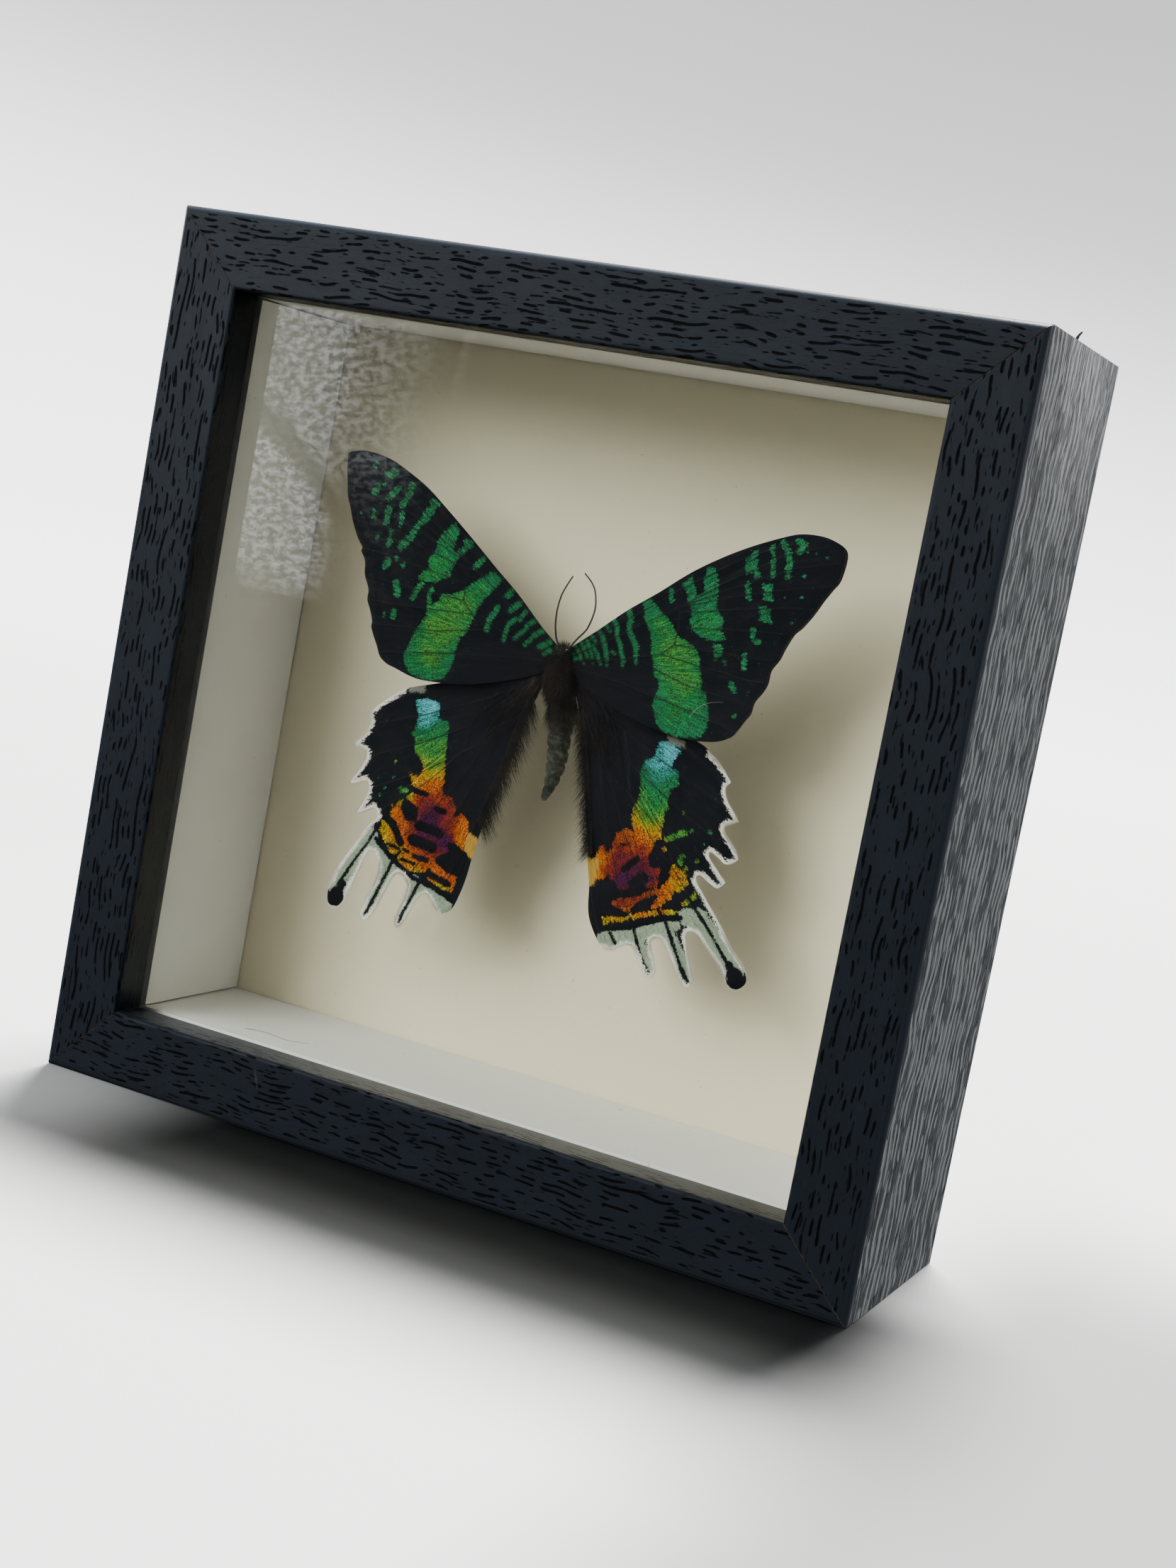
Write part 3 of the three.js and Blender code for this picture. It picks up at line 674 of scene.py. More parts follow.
RIGHT_HINDWING = {
    "outline": [
        [(2.5, -1.5), (5, -3), (15, -5.5), (26, -8.1), (28.6, -9.5), (31, -11.2), (33.1, -13.3)],
        [(33.1, -13.3), (32.3, -14.4), (33, -16.3), (34.3, -17.7), (35.6, -19.3)],
        [(35.6, -19.3), (33.6, -20.3), (33.6, -21.4), (35.8, -23.6), (36.8, -25.2)],
        [(36.8, -25.2), (35, -26.4), (33.2, -25.5), (31.8, -25), (31.9, -26), (34, -28), (35.5, -29.3)],
        [(35.5, -29.3), (34.3, -30.5), (32.4, -29.8), (31, -29.1), (30.3, -29.7), (30.7, -30.6)],
        [
            (30.7, -30.6), (33, -33), (36.2, -36.6), (38.3, -39.2), (40.8, -41.5), (41.8, -42.9),
            (42, -44.4), (41.2, -45.5), (40.2, -45.9), (38.8, -45.4), (37.8, -43.9), (36.3, -42.2),
            (34, -40.3), (32.8, -38.9), (31.5, -38.4), (30.6, -38.7), (30.4, -39.8), (31.8, -42.8),
            (33.3, -46.6),
        ],
        [
            (33.3, -46.6), (32, -47.6), (30.1, -45.8), (28.3, -43.2), (27, -41.5), (25.9, -41),
            (24.9, -41.3), (24.6, -42.3), (25.7, -44.8), (26.4, -46.8),
        ],
        [
            (26.4, -46.8), (25.3, -47.8), (23.6, -46.2), (22.3, -44.2), (21.3, -43.4), (20, -43.6),
            (18.4, -44.9),
        ],
        [
            (18.4, -44.9), (16.4, -45), (14.7, -43.4), (13.1, -41), (12.4, -38.9), (11.9, -35.8),
            (11.2, -33.2), (10.7, -31.2), (10.2, -28), (9.2, -24.3), (8, -20.1), (7, -16.7),
            (5.8, -13), (4.4, -8), (3, -4.5),
        ],
    ],
    "veins": HINDWING_VEINS,
    "fringe": [(28.6, -9.5), (16.4, -45)],
    "inner_edge": [(4.6, -7), (6.6, -13), (8, -18), (9.8, -24.5), (10.8, -29), (11, -30)],
    "bands": [
        [
            (19.5, -9.5), (19, -12.5), (17.5, -13), (17.3, -15), (17.8, -17.5), (17.8, -19.5),
            (17.2, -21), (17.3, -23), (18, -25), (16.5, -24.8), (15, -26), (14.8, -28.5), (13.8, -29.5),
            (12.8, -28.2), (12.3, -29.5), (12.2, -31.5), (12.2, -35), (13, -34.2), (14.2, -33.8),
            (15.2, -32.5), (15.3, -33.5), (16, -33.5), (17.8, -34.8), (19, -34), (18.5, -33.2),
            (20, -31.5), (21.5, -30.8), (22.5, -31.3), (22.2, -32.3), (21.8, -33.2), (23.7, -33.1),
            (23.8, -29.6), (23, -30), (21.8, -29.8), (21.5, -28), (22, -25.5), (22.9, -24.9),
            (22.8, -22.5), (22.6, -20.5), (23.2, -19.7), (22.8, -18.5), (23, -16.5), (24, -15.8),
            (23.7, -13.7), (22.3, -13.2), (22.3, -12), (23.5, -10.4), (22, -9.3),
        ],
        [
            (26.2, -28.5), (27.2, -29), (28, -29), (29, -30.3), (29, -31.5), (28, -32.7), (27, -32.8),
            (26.5, -34), (25.5, -35.3), (25, -36), (23.5, -36.5), (24, -35.3), (24.4, -34.5),
            (24.2, -33.2), (25, -32), (25.8, -30.8), (25.5, -29.7),
        ],
        [
            (16.5, -37.3), (17.5, -36.3), (19, -36), (20.5, -35.3), (22, -34.3), (23.5, -33.3),
            (24.2, -34), (22.5, -34.8), (21, -36), (20.3, -37), (19.5, -38), (18.7, -38.2),
        ],
        [
            (15.3, -40), (17, -39.6), (19, -39.2), (21, -38), (23, -37.2), (25, -36.3), (27, -36),
            (28.5, -35.9), (27, -36.9), (25, -37.3), (23, -38), (21, -38.9), (19, -39.9), (17, -40.3),
            (15.8, -41.3),
        ],
        [(28.7, -34.7), (29.5, -33.5), (30.7, -32.2), (31, -33), (30, -34.2)],
    ],
    "dashes": [
        (0.4, [(24, -24.8), (26.8, -23)]), (0.3, [(24, -26.5)]), (0.4, [(27.2, -27), (27, -28)]),
        (0.25, [(28.3, -28.6)]), (0.2, [(29, -25.2)]), (0.2, [(30, -27)]), (0.25, [(31.2, -22)]),
        (0.2, [(28, -22.5)]), (0.15, [(30.5, -24)]), (0.15, [(26, -20)]),
    ],
    "tints": [
        (22, -10.5, 0.0), (20.5, -12.8, 0.02), (20.5, -15, 0.1), (20.5, -18, 0.2), (20.5, -20.5, 0.27),
        (20, -22.5, 0.38), (20, -23.8, 0.5), (19, -25, 0.62), (21.5, -25, 0.57), (17, -26.5, 0.7),
        (20, -27.5, 0.74), (14.5, -28.8, 0.68), (13, -31, 0.58), (12.7, -33.5, 0.57), (16, -29.5, 0.82),
        (19, -31, 0.93), (17.5, -33, 1.0), (20.8, -30, 0.88), (22.5, -31.5, 0.86), (14.5, -32.3, 0.76),
        (26.5, -30, 0.6), (28, -31, 0.53), (25.5, -33, 0.62), (25.5, -35, 0.6), (23.8, -36, 0.68),
        (28.5, -32, 0.5), (18, -36.8, 0.73), (21, -35.5, 0.72), (23.5, -34, 0.68), (16, -40.5, 0.49),
        (20, -39, 0.5), (24, -37.3, 0.53), (27.5, -36.3, 0.44), (30, -33, 0.38), (25.5, -24, 0.3),
        (27.3, -27.5, 0.3), (30, -24, 0.1),
    ],
    "spots": [(0.55, [(17.5, -31.3), (19.5, -29.2)]), (0.22, [(16.5, -27.5), (17.5, -27)])],
    "club": (40.3, -44.1, 1.75),
    "pale": [
        (1.5, [(16.5, -43.6), (19, -42.2)]), (1.3, [(20, -41.9), (24, -40.3)]),
        (1.2, [(25.5, -39.6), (28, -38.3)]), (1.5, [(30, -36.4), (32.5, -36)]),
        (2.0, [(32, -36.4), (39.5, -43)]), (1.5, [(27, -39.5), (32, -46.8)]),
        (1.5, [(21.5, -42), (25.4, -47)]),
    ],
    "rays": [
        (0.28, [(29.5, -33), (33.5, -36.8), (40, -44)]), (1.45, [(39.9, -43.7), (40.3, -44.4)]),
        (0.7, [(38.7, -42.2), (39.9, -43.7)]), (0.33, [(24.8, -36.5), (26.5, -38), (29, -42), (32.1, -46.9)]),
        (0.45, [(30.9, -44.8), (32.2, -47)]),
        (0.32, [(20.2, -39.2), (21.3, -41), (23.2, -44.3), (25.2, -47.2)]),
        (0.42, [(24.4, -46), (25.3, -47.2)]), (0.3, [(17, -42.2), (18.3, -43.8)]),
        (0.45, [(16, -41.8), (20, -40.7), (25, -38), (29, -36.8)]),
    ],
    "tan": [
        [(9.5, -30.6), (12.8, -30.8), (12.8, -33.2), (12.7, -35.4), (10.5, -36)],
        [(20.5, -8), (24, -8.4), (24.2, -9.6), (21, -9.5)],
    ],
}
LEFT_HINDWING = {
    "outline": [
        [
            (2.5, -1.5), (5, -3), (15, -5.8), (26, -9.4), (28.8, -10.6), (31.2, -12.5), (33.4, -14.4),
            (34.7, -15.9),
        ],
        [(34.7, -15.9), (33.9, -17.4), (34.6, -19.2), (36.5, -21.9)],
        [(36.5, -21.9), (34.7, -22.1), (33.6, -22.7), (33.9, -24.6), (36.3, -28.9)],
        [(36.3, -28.9), (34.2, -27.9), (32.6, -27.4), (32, -28.4), (32.2, -30), (33.7, -33.5)],
        [(33.7, -33.5), (31.8, -32.4), (30.4, -31.7), (29.5, -32.3), (29.4, -33.4)],
        [
            (29.4, -33.4), (31.1, -35.2), (32.8, -38.4), (34.3, -41.1), (35.6, -43.6), (36.5, -46.3),
            (36.8, -48.3), (36.4, -50.1), (35.5, -50.8), (34.3, -50.2), (33.1, -48.2), (32.2, -45.5),
            (31.3, -43), (30.7, -40.6), (30.2, -39.5), (29.4, -39.1), (28.3, -39.8), (27.7, -41),
            (27.7, -43), (28.6, -46.5), (29.6, -50.3),
        ],
        [
            (29.6, -50.3), (28.4, -51.3), (26.9, -49), (25.7, -45.7), (24.8, -43.1), (24.1, -42.1),
            (23.4, -41.8), (22.2, -42.4), (21.6, -43.6), (22.1, -46.5), (23, -50.3),
        ],
        [
            (23, -50.3), (21.8, -51), (20.3, -48), (19.4, -45.6), (18.5, -44.4), (17.8, -44.1),
            (16.5, -45),
        ],
        [
            (16.5, -45), (15, -46.6), (13.8, -46.5), (12.4, -45.3), (11.4, -42.2), (10.8, -39.4),
            (10.4, -36.3), (10, -33.9), (9.6, -31), (9, -28.4), (8.2, -25), (7, -20.8),
            (6.2, -17.5), (5.2, -12), (4.2, -8), (3, -4.5),
        ],
    ],
    "veins": HINDWING_VEINS,
    "fringe": [(28.8, -10.6), (15, -46.6)],
    "inner_edge": [(4.6, -7), (6, -12), (6.8, -16), (7.9, -21), (9.2, -26), (10, -30)],
    "bands": [
        [
            (21.8, -11.5), (24, -11.2), (26, -11.8), (25.8, -13), (25, -14), (25.4, -17), (25.8, -17.7),
            (24.8, -18.5), (24.6, -20.5), (23, -21.8), (22.2, -23.3), (23, -24.7), (24.8, -24.4),
            (24, -26.2), (22.5, -26.8), (24, -28), (26, -29.5), (27, -31.5), (27, -33.8), (28.3, -33.3),
            (28.5, -35.5), (27.5, -36.5), (26, -38.5), (24.5, -39), (24, -40), (22, -41), (19, -40.5),
            (17, -42), (15, -42.5), (13.3, -42.7), (12.7, -40.3), (12, -38), (11.5, -36), (12, -34.8),
            (11.9, -31.5), (12.4, -30), (12.7, -29.8), (13.5, -29), (15.2, -30), (15, -28.5),
            (16, -26.8), (18, -26.5), (18.3, -22.5), (18.9, -20), (19.2, -17), (19.3, -14.5),
            (21.3, -14), (21.5, -12.5),
        ],
    ],
    "dashes": [
        (0.4, [(25, -27.5), (26, -27.5)]), (0.22, [(29, -28)]), (0.2, [(27.7, -25.8)]),
        (0.22, [(29.8, -29)]), (0.15, [(30.5, -26.5)]), (0.15, [(28, -23)]), (0.2, [(27, -30.5)]),
    ],
    "tints": [
        (23.5, -12.5, 0.0), (23.5, -15, 0.02), (22, -17.2, 0.26), (21.5, -20, 0.3), (21, -22.3, 0.39),
        (21, -23.5, 0.5), (20.5, -25.5, 0.62), (23.5, -24.5, 0.56), (18, -27.5, 0.72), (21, -28.5, 0.78),
        (19, -30, 0.93), (15, -30.5, 0.74), (13, -31, 0.6), (12.8, -33.8, 0.6), (16, -34.5, 0.98),
        (19.5, -31.5, 1.0), (20.5, -34, 0.93), (23, -34.5, 0.7), (25.5, -32, 0.65), (25, -35, 0.62),
        (28, -34.5, 0.51), (27, -37, 0.5), (24.8, -38.5, 0.52), (14, -40.3, 0.68), (19, -39.3, 0.68),
        (15, -42.6, 0.48), (20, -40.8, 0.5), (25.5, -27.5, 0.3), (29, -27, 0.1),
    ],
    "dark": [
        [(22, -30), (25, -28.5), (25.5, -30.5), (24, -32.5), (22, -32.5)],
        [
            (11.3, -35.5), (14, -34.3), (15.5, -34.3), (15, -36), (17.3, -37.5), (17, -38.5),
            (15, -39.5), (11.5, -40),
        ],
    ],
    "spots": [
        (0.5, [(17, -29.5), (18.5, -29.3)]), (0.5, [(21, -27.3), (23, -27.2)]),
        (0.85, [(17.3, -33.3), (21.3, -32.8)]), (1.0, [(18.3, -36), (22, -35.5)]),
        (0.5, [(18.8, -38.4), (21.3, -38.2)]), (0.3, [(22.5, -37.7), (23.5, -37.5)]),
        (0.7, [(24.2, -36.5), (26.2, -33.6), (28, -32.6)]), (0.3, [(21, -39.5), (23.5, -39.3)]),
        (0.6, [(14, -41.5), (18, -40.6)]), (0.35, [(24.5, -37.6), (26.5, -37.2)]),
    ],
    "club": (35.2, -48.6, 1.75),
    "pale": [
        (1.5, [(14, -45.3), (17, -44.2)]), (1.2, [(19, -43.2), (20.5, -42.5)]),
        (1.2, [(23, -41.7), (25, -41)]),
        (1.3, [(26.5, -40), (30, -38)]), (1.9, [(30.5, -36.9), (35, -47)]),
        (1.4, [(26, -41.4), (28.2, -49.5)]), (1.4, [(20, -43.4), (22, -49.5)]),
    ],
    "rays": [
        (0.28, [(28.8, -34), (30.3, -37.5), (32.5, -41.5), (35, -46.5)]), (1.4, [(34.9, -48.2), (35.3, -49)]),
        (0.7, [(33.9, -46), (34.9, -48.2)]), (0.33, [(24, -38), (25, -39.5), (26.6, -44), (28.3, -50)]),
        (0.45, [(27.7, -48), (28.3, -50.2)]), (0.32, [(18, -39.8), (19, -41.5), (20.8, -46), (22.2, -50)]),
        (0.42, [(21.6, -48.4), (22, -50)]),
        (0.45, [(12.8, -44), (17, -42.6), (21, -41.9), (25.5, -39.6), (29, -37)]),
    ],
    "tan": [
        [(9, -34.2), (9.6, -32.6), (11.9, -31.6), (12.2, -34.8), (11, -36.2), (9.6, -36)],
        [(24.5, -8.6), (28, -9.8), (27.5, -11), (24.7, -10.3)],
    ],
}

WINGS = {
    "forewing_right": (RIGHT_FOREWING, 1, FOREWING_RISE, 0.0),
    "forewing_left": (LEFT_FOREWING, -1, FOREWING_RISE, 0.0),
    "hindwing_right": (RIGHT_HINDWING, 1, HINDWING_RISE, HINDWING_BEHIND),
    "hindwing_left": (LEFT_HINDWING, -1, HINDWING_RISE, HINDWING_BEHIND),
}

# Centre and radii of the parts of the body that carry fur.
THORAX = ((0, 0.9, -2.8), (2.4, 3.1, 4.6))
HEAD = ((-0.1, -0.3, 1.5), (1.1, 1.2, 1.25))
WAIST = ((0.6, 1.9, -7.5), (2.2, 2.2, 2.8))
MIDDLE_TUFT = ((0.1, -1.0, -2.6), (0.8, 1.2, 1.6))
LEFT_TUFT = ((-4.6, 0.3, -4.6), (0.8, 0.6, 1.6))

RIGHT_ANTENNA = [
    (0.8, 2.0), (2.1, 4.1), (3.5, 6), (4.2, 8.4), (4.3, 10.3), (3.8, 12.3), (2.9, 13.7), (1.2, 15.1),
]
LEFT_ANTENNA = [
    (0.6, 2.1), (1.5, 3.3), (2.0, 4.7), (2.3, 6.2), (2.4, 8.4), (2.1, 10.7), (1.5, 12.4), (0.6, 14.3),
]


# Finishes


def dimmed(tint, factor):
    return tuple(factor * c for c in tint)


def lanes(f, along, across, pitch, reach, share, seed, width=0.24):
    """Dashes that lie in rows: 1 inside a dash, 0 between them."""
    drift = f.noise_at(along * 0.11 + 5.0 * seed, across * 0.07, 1.0)
    lane = across / pitch + 2.4 * drift + seed
    row = lane.maths("FLOOR")
    off = abs(lane - row - 0.5)
    run = f.noise_at(along / reach + 13.7 * row, row * 5.3 + seed, 1.0)
    rough = f.noise_at(along * 1.7, across * 4.0, 2.0) - 0.5
    inner = width * f.smooth(run + 0.08 * rough, share, share + 0.1)
    return f.smooth(inner - off - 0.16 * rough, 0.0, 0.09)


def foil_finish(look):
    """Pressed wood-grain foil: a slate ground with black pores, and on the outer sides a lighter ground with
    light streaks, painted sheen of the embossed foil catching the light.

    The pores and streaks are dashes in rows that sway a little along the rail.
    """
    f = Finish("wood-grain foil")
    along, around = f.unwrapped("grain")
    outer = f.attribute("outer side")
    plain = f.attribute("plain edge")
    sway = f.noise_at(along * 0.045, around * 0.04, 1.0)
    bent = around + 2.2 * sway
    coarse = lanes(f, along, bent, 1.05, 3.6, 0.49, 1.0)
    fine = 0.85 * lanes(f, along, bent, 0.67, 2.6, 0.56, 3.0)
    pores = coarse.maths("MAXIMUM", fine) * (1.0 - plain)
    cloud = f.noise_at(along * 0.06, around * 0.3, 4.0)
    grain = f.noise_at(along * 0.8, bent * 9.0, 2.0)
    slate = f.shade(f.mix(cloud, look.foil, dimmed(look.foil, 0.62)), 0.7 + 0.6 * grain)
    face = f.mix(pores, slate, look.pore)
    face = f.mix(plain, face, f.shade(look.foil, 1.1))
    # One short slanting scuff on the bottom rail's face.
    scuff = f.fade(abs(along + 0.35 * around + 13.6) + abs(around - 53.5) * 0.16, 0.15, 0.4)
    face = f.mix(0.5 * scuff * grain, face, (0.12, 0.12, 0.125))
    # Painted sheen: the outer sides' lighter ground and light streaks stand in for the embossed foil catching
    # the light at a slant. Their rows follow the foil's grain.
    broad = lanes(f, along, bent, 2.3, 7.5, 0.41, 5.0, 0.26)
    thin = lanes(f, along, bent, 1.2, 5.5, 0.47, 7.0)
    sheen_streaks = broad.maths("MAXIMUM", 0.7 * thin)
    gloom = lanes(f, along, bent, 1.7, 6.0, 0.44, 9.0, 0.3)
    ground = f.mix(gloom, look.side, dimmed(look.side, 0.35))
    side = f.mix(sheen_streaks, f.shade(ground, 0.7 + 0.6 * grain), f.shade(look.streak, 0.4 + 1.2 * grain))
    tint = f.mix(outer, face, side)
    seam = f.fade(f.attribute("mitre"), 0.04, 0.14)
    tint = f.mix(seam * (0.25 + 0.7 * cloud), tint, (0.085, 0.08, 0.07))
    relief = 1.0 - pores + 0.25 * grain * (1.0 - outer) + 0.5 * sheen_streaks * outer
    values = {
        "Base Color": tint,
        "Roughness": 0.34 + 0.3 * pores + 0.1 * cloud + 0.12 * outer,
        "Normal": f.bump(relief, 0.00012, 0.7),
        "Specular IOR Level": 0.22,
    }
    return f.finish(f.surface(values))


def fibreboard_finish():
    """The raw core of a wrapped rail, as its back and inner wall show it."""
    f = Finish("raw fibreboard")
    place = f.place()
    fine = f.noise(place, 2600.0, 3.0)
    broad = f.noise(place, 190.0, 3.0)
    tint = f.mix(broad, (0.33, 0.215, 0.118), (0.24, 0.15, 0.08))
    tint = f.shade(tint, 0.7 + 0.6 * fine)
    return f.finish(f.surface({"Base Color": tint, "Roughness": 0.85, "Normal": f.bump(fine, 0.00015)}))


def hardboard_finish(look):
    """A brown pressed panel, smooth with darker flecks of fibre."""
    f = Finish("hardboard")
    place = f.place()
    fibre = f.noise(f.vmath("MULTIPLY", place, (420.0, 420.0, 900.0)), 1.0, 4.0, 0.65)
    cloud = f.noise(place, 42.0, 3.0)
    fleck = f.smooth(f.noise(place, 1500.0, 2.0), 0.62, 0.7)
    tint = f.mix(cloud, look.hardboard, dimmed(look.hardboard, 0.72))
    tint = f.mix(0.55 * fleck, f.shade(tint, 0.7 + 0.6 * fibre), (0.07, 0.038, 0.018))
    values = {"Base Color": tint, "Roughness": 0.42 + 0.3 * fibre, "Normal": f.bump(fibre, 0.0001, 0.6)}
    return f.finish(f.surface(values))


def card_finish(look):
    """White card with a faint tooth and a little shading dirt."""
    f = Finish("white card")
    place = f.place()
    tooth = f.noise(place, 3200.0, 2.0)
    cloud = f.noise(place, 60.0, 3.0)
    speck = f.smooth(f.noise(place, 900.0, 1.0), 0.76, 0.79)
    tint = f.mix(cloud, look.card, dimmed(look.card, 0.93))
    tint = f.mix(0.5 * speck, f.shade(tint, 0.96 + 0.08 * tooth), (0.35, 0.33, 0.3))
    return f.finish(f.surface({"Base Color": tint, "Roughness": 0.55, "Normal": f.bump(tooth, 0.00003, 0.5)}))


def board_finish(look):
    """Cream mounting board with a soft felt-side texture."""
    f = Finish("cream board")
    place = f.place()
    felt = f.noise(place, 2300.0, 4.0, 0.6)
    cloud = f.noise(place, 26.0, 2.0)
    speck = f.smooth(f.noise(place, 1100.0, 1.0), 0.77, 0.8)
    tint = f.mix(cloud, look.board, dimmed(look.board, 0.95))
    tint = f.mix(0.4 * speck, f.shade(tint, 0.95 + 0.1 * felt), (0.38, 0.33, 0.26))
    return f.finish(f.surface({"Base Color": tint, "Roughness": 0.8, "Normal": f.bump(felt, 0.00004, 0.6)}))


def glass_finish(look):
    """A clear pane that lets the lamps light what stands behind it."""
    f = Finish("glass pane")
    place = f.place()
    ripple = f.noise(place, 30.0, 2.0)
    pane = f.surface({
        "Base Color": (0.98, 1.0, 0.99),
        "Roughness": 0.0,
        "IOR": look.glass_ior,
        "Transmission Weight": 1.0,
        "Normal": f.bump(ripple, 0.00002, 0.3),
    })
    clear = f.add("ShaderNodeBsdfTransparent", {}, {"Color": (0.95, 0.97, 0.96, 1)})[0]
    shadow = f.add("ShaderNodeLightPath")["Is Shadow Ray"]
    return f.finish(f.add("ShaderNodeMixShader", {}, {0: shadow, 1: pane, 2: clear})[0])


def metal_finish(name, tint, roughness, direction):
    """Rolled or drawn metal with fine lines and a little tarnish."""
    f = Finish(name)
    place = f.place()
    lines = f.noise(f.vmath("MULTIPLY", place, direction), 1.0, 3.0)
    stain = f.noise(place, 260.0, 3.0)
    shade = f.mix(f.smooth(stain, 0.45, 0.7), tint, dimmed(tint, 0.6))
    values = {
        "Base Color": f.shade(shade, 0.8 + 0.4 * lines),
        "Metallic": 1.0,
        "Roughness": roughness + 0.2 * stain,
        "Normal": f.bump(lines, 0.00003, 0.5),
    }
    return f.finish(f.surface(values))


GLOW_STOPS = [
    (0.0, (0.12, 0.52, 0.62)), (0.06, (0.04, 0.36, 0.33)), (0.13, (0.012, 0.19, 0.078)),
    (0.25, (0.016, 0.22, 0.05)), (0.38, (0.08, 0.3, 0.022)), (0.5, (0.48, 0.32, 0.001)),
    (0.62, (0.56, 0.12, 0.001)), (0.73, (0.25, 0.024, 0.006)), (0.86, (0.1, 0.008, 0.03)),
    (1.0, (0.055, 0.006, 0.062)),
]


def wing_finish(look, name, hind):
    """Scales on a black wing: glowing bands, dark spots, pale margins and a white fringe."""
    f = Finish(name)
    reach, turn = f.unwrapped("spread")
    grain = f.cells(f.vector(reach * 6.2, turn * 9.5), 1.0)
    grain_two = f.cells(f.vector(reach * 5.1 + 9.0, turn * 7.3 + 4.0), 1.0)
    streak = f.noise_at(reach * 0.3, turn * 2.4, 3.0, 0.6)
    cloud = f.noise_at(reach * 0.5, turn * 0.5, 3.0)
    on_vein = f.fade(f.attribute("vein"), 0.06, 0.2)

    ground = f.mix(streak, look.black, dimmed(look.black, 1.7))
    ground = f.mix(0.25 * on_vein, ground, (0.02, 0.02, 0.022))
    dust = f.smooth(grain, 0.965, 0.985) * f.smooth(cloud, 0.5, 0.7)
    ground = f.mix(0.55 * dust, ground, (0.03, 0.12, 0.1) if not hind else (0.05, 0.1, 0.1))
    reddish = f.smooth(f.noise_at(reach * 0.25 + 7.0, turn * 1.2, 2.0), 0.5, 0.8)
    ground = f.mix(0.3 * reddish, ground, (0.022, 0.013, 0.009))
    brown = f.smooth(f.attribute("down"), 0.0, 1.0)
    hairy = f.smooth(f.noise_at(reach * 0.16, turn * 5.5, 2.0), 0.42, 0.7)
    ground = f.mix(0.6 * brown * hairy, ground, dimmed(look.brown, 0.35))

    edge = 0.4 * (grain - 0.5) + 1.2 * (streak - 0.5)
    glow = f.smooth(f.attribute("glow") + edge, -0.035, 0.02)
    rubbed = f.smooth(grain_two + 1.5 * cloud, 1.5, 1.6)
    creases = f.noise_at(reach * 0.1 + 3.0, turn * 1.9, 2.0)
    crease = f.fade(abs(creases - 0.5), 0.004, 0.022)
    glow = glow * (1.0 - 0.8 * rubbed) * (1.0 - 0.62 * crease) * (1.0 - 0.72 * on_vein)
    depth = f.smooth(f.attribute("glow"), 0.0, 1.3)
    key = f.attribute("hue") + 0.16 * (streak - 0.5) + 0.16 * (cloud - 0.5) + 0.05 * (grain_two - 0.5)
    if not hind:
        key = (key - 0.03 - 0.03 * (1.0 - depth)).maths("MAXIMUM", 0.17)
    scales = f.add("ShaderNodeValToRGB", {"stops": GLOW_STOPS}, {0: key})[0]
    lit = (0.3 + 1.0 * grain) * (2.3 * streak + 1.2 * cloud - 0.72) * (0.95 + 0.05 * depth)
    scales = f.shade(scales, lit * (0.86 if hind else 0.8))
    tint = f.mix(glow, ground, scales)

    if hind:
        pale = f.smooth(f.attribute("pale") + 0.8 * edge, -0.05, 0.2)
        tint = f.mix(0.9 * pale, tint, f.shade(look.mint, 0.4 * grain + 1.25 * streak))
        tan = f.smooth(f.attribute("tan") + edge, -0.1, 0.25)
        hairs = f.noise_at(reach * 0.5, turn * 7.0, 2.0)
        upper = f.smooth(f.parts(f.place())[2], 0.069, 0.072)
        patch_tint = f.mix(upper, look.tan, (0.24, 0.25, 0.21))
        tint = f.mix(tan * (0.95 - 0.3 * upper), tint, f.shade(patch_tint, 0.25 + 1.4 * hairs))
        tint = f.mix(f.smooth(f.attribute("dark") + 0.7 * edge, -0.05, 0.08), tint, look.black)
        rim = f.attribute("rim") + 1.6 * (streak - 0.5) + 0.5 * (grain - 0.5)
        rim = f.fade(rim, 0.5, 0.72)
        tint = f.mix(rim, tint, f.shade(look.fringe, 0.62 + 0.35 * grain))
    else:
        rim = f.fade(f.attribute("rim"), 0.2, 0.7)
        tint = f.mix(0.5 * rim, tint, (0.014, 0.011, 0.01))
    relief = 0.5 * grain + 0.6 * on_vein + 0.4 * streak
    values = {
        "Base Color": tint,
        "Roughness": 0.78 - 0.3 * glow,
        "Normal": f.bump(relief, 0.00006, 0.6),
        "Specular IOR Level": 0.12,
    }
    return f.finish(f.surface(values))


def hair_finish(name, root, tip):
    """Fine hair whose tint wanders from place to place."""
    f = Finish(name)
    place = f.place()
    patchy = f.smooth(f.noise(place, 420.0, 2.0), 0.35, 0.7)
    each = f.noise(place, 4200.0, 1.0)
    tint = f.shade(f.mix(patchy, root, tip), 0.55 + 0.9 * each)
    return f.finish(f.surface({"Base Color": tint, "Roughness": 0.55, "Specular IOR Level": 0.4}))


def abdomen_finish():
    """Dry plates, mottled in dull green and brown between black joints."""
    f = Finish("dry abdomen")
    along, around = f.unwrapped("skin")
    blotch = f.noise_at(along * 1.2, around * 0.9, 4.0, 0.65)
    fine = f.noise_at(along * 4.0, around * 4.0, 2.0)
    tint = f.mix(f.smooth(blotch, 0.44, 0.6), (0.004, 0.005, 0.004), (0.062, 0.076, 0.044))
    tint = f.mix(f.smooth(fine, 0.5, 0.7), tint, (0.02, 0.015, 0.01))
    tint = f.mix(0.85 * f.attribute("joint"), tint, (0.006, 0.006, 0.006))
    values = {
        "Base Color": tint,
        "Roughness": 0.45 + 0.3 * fine,
        "Normal": f.bump(blotch + 0.4 * fine, 0.0002, 0.8),
    }
    return f.finish(f.surface(values))


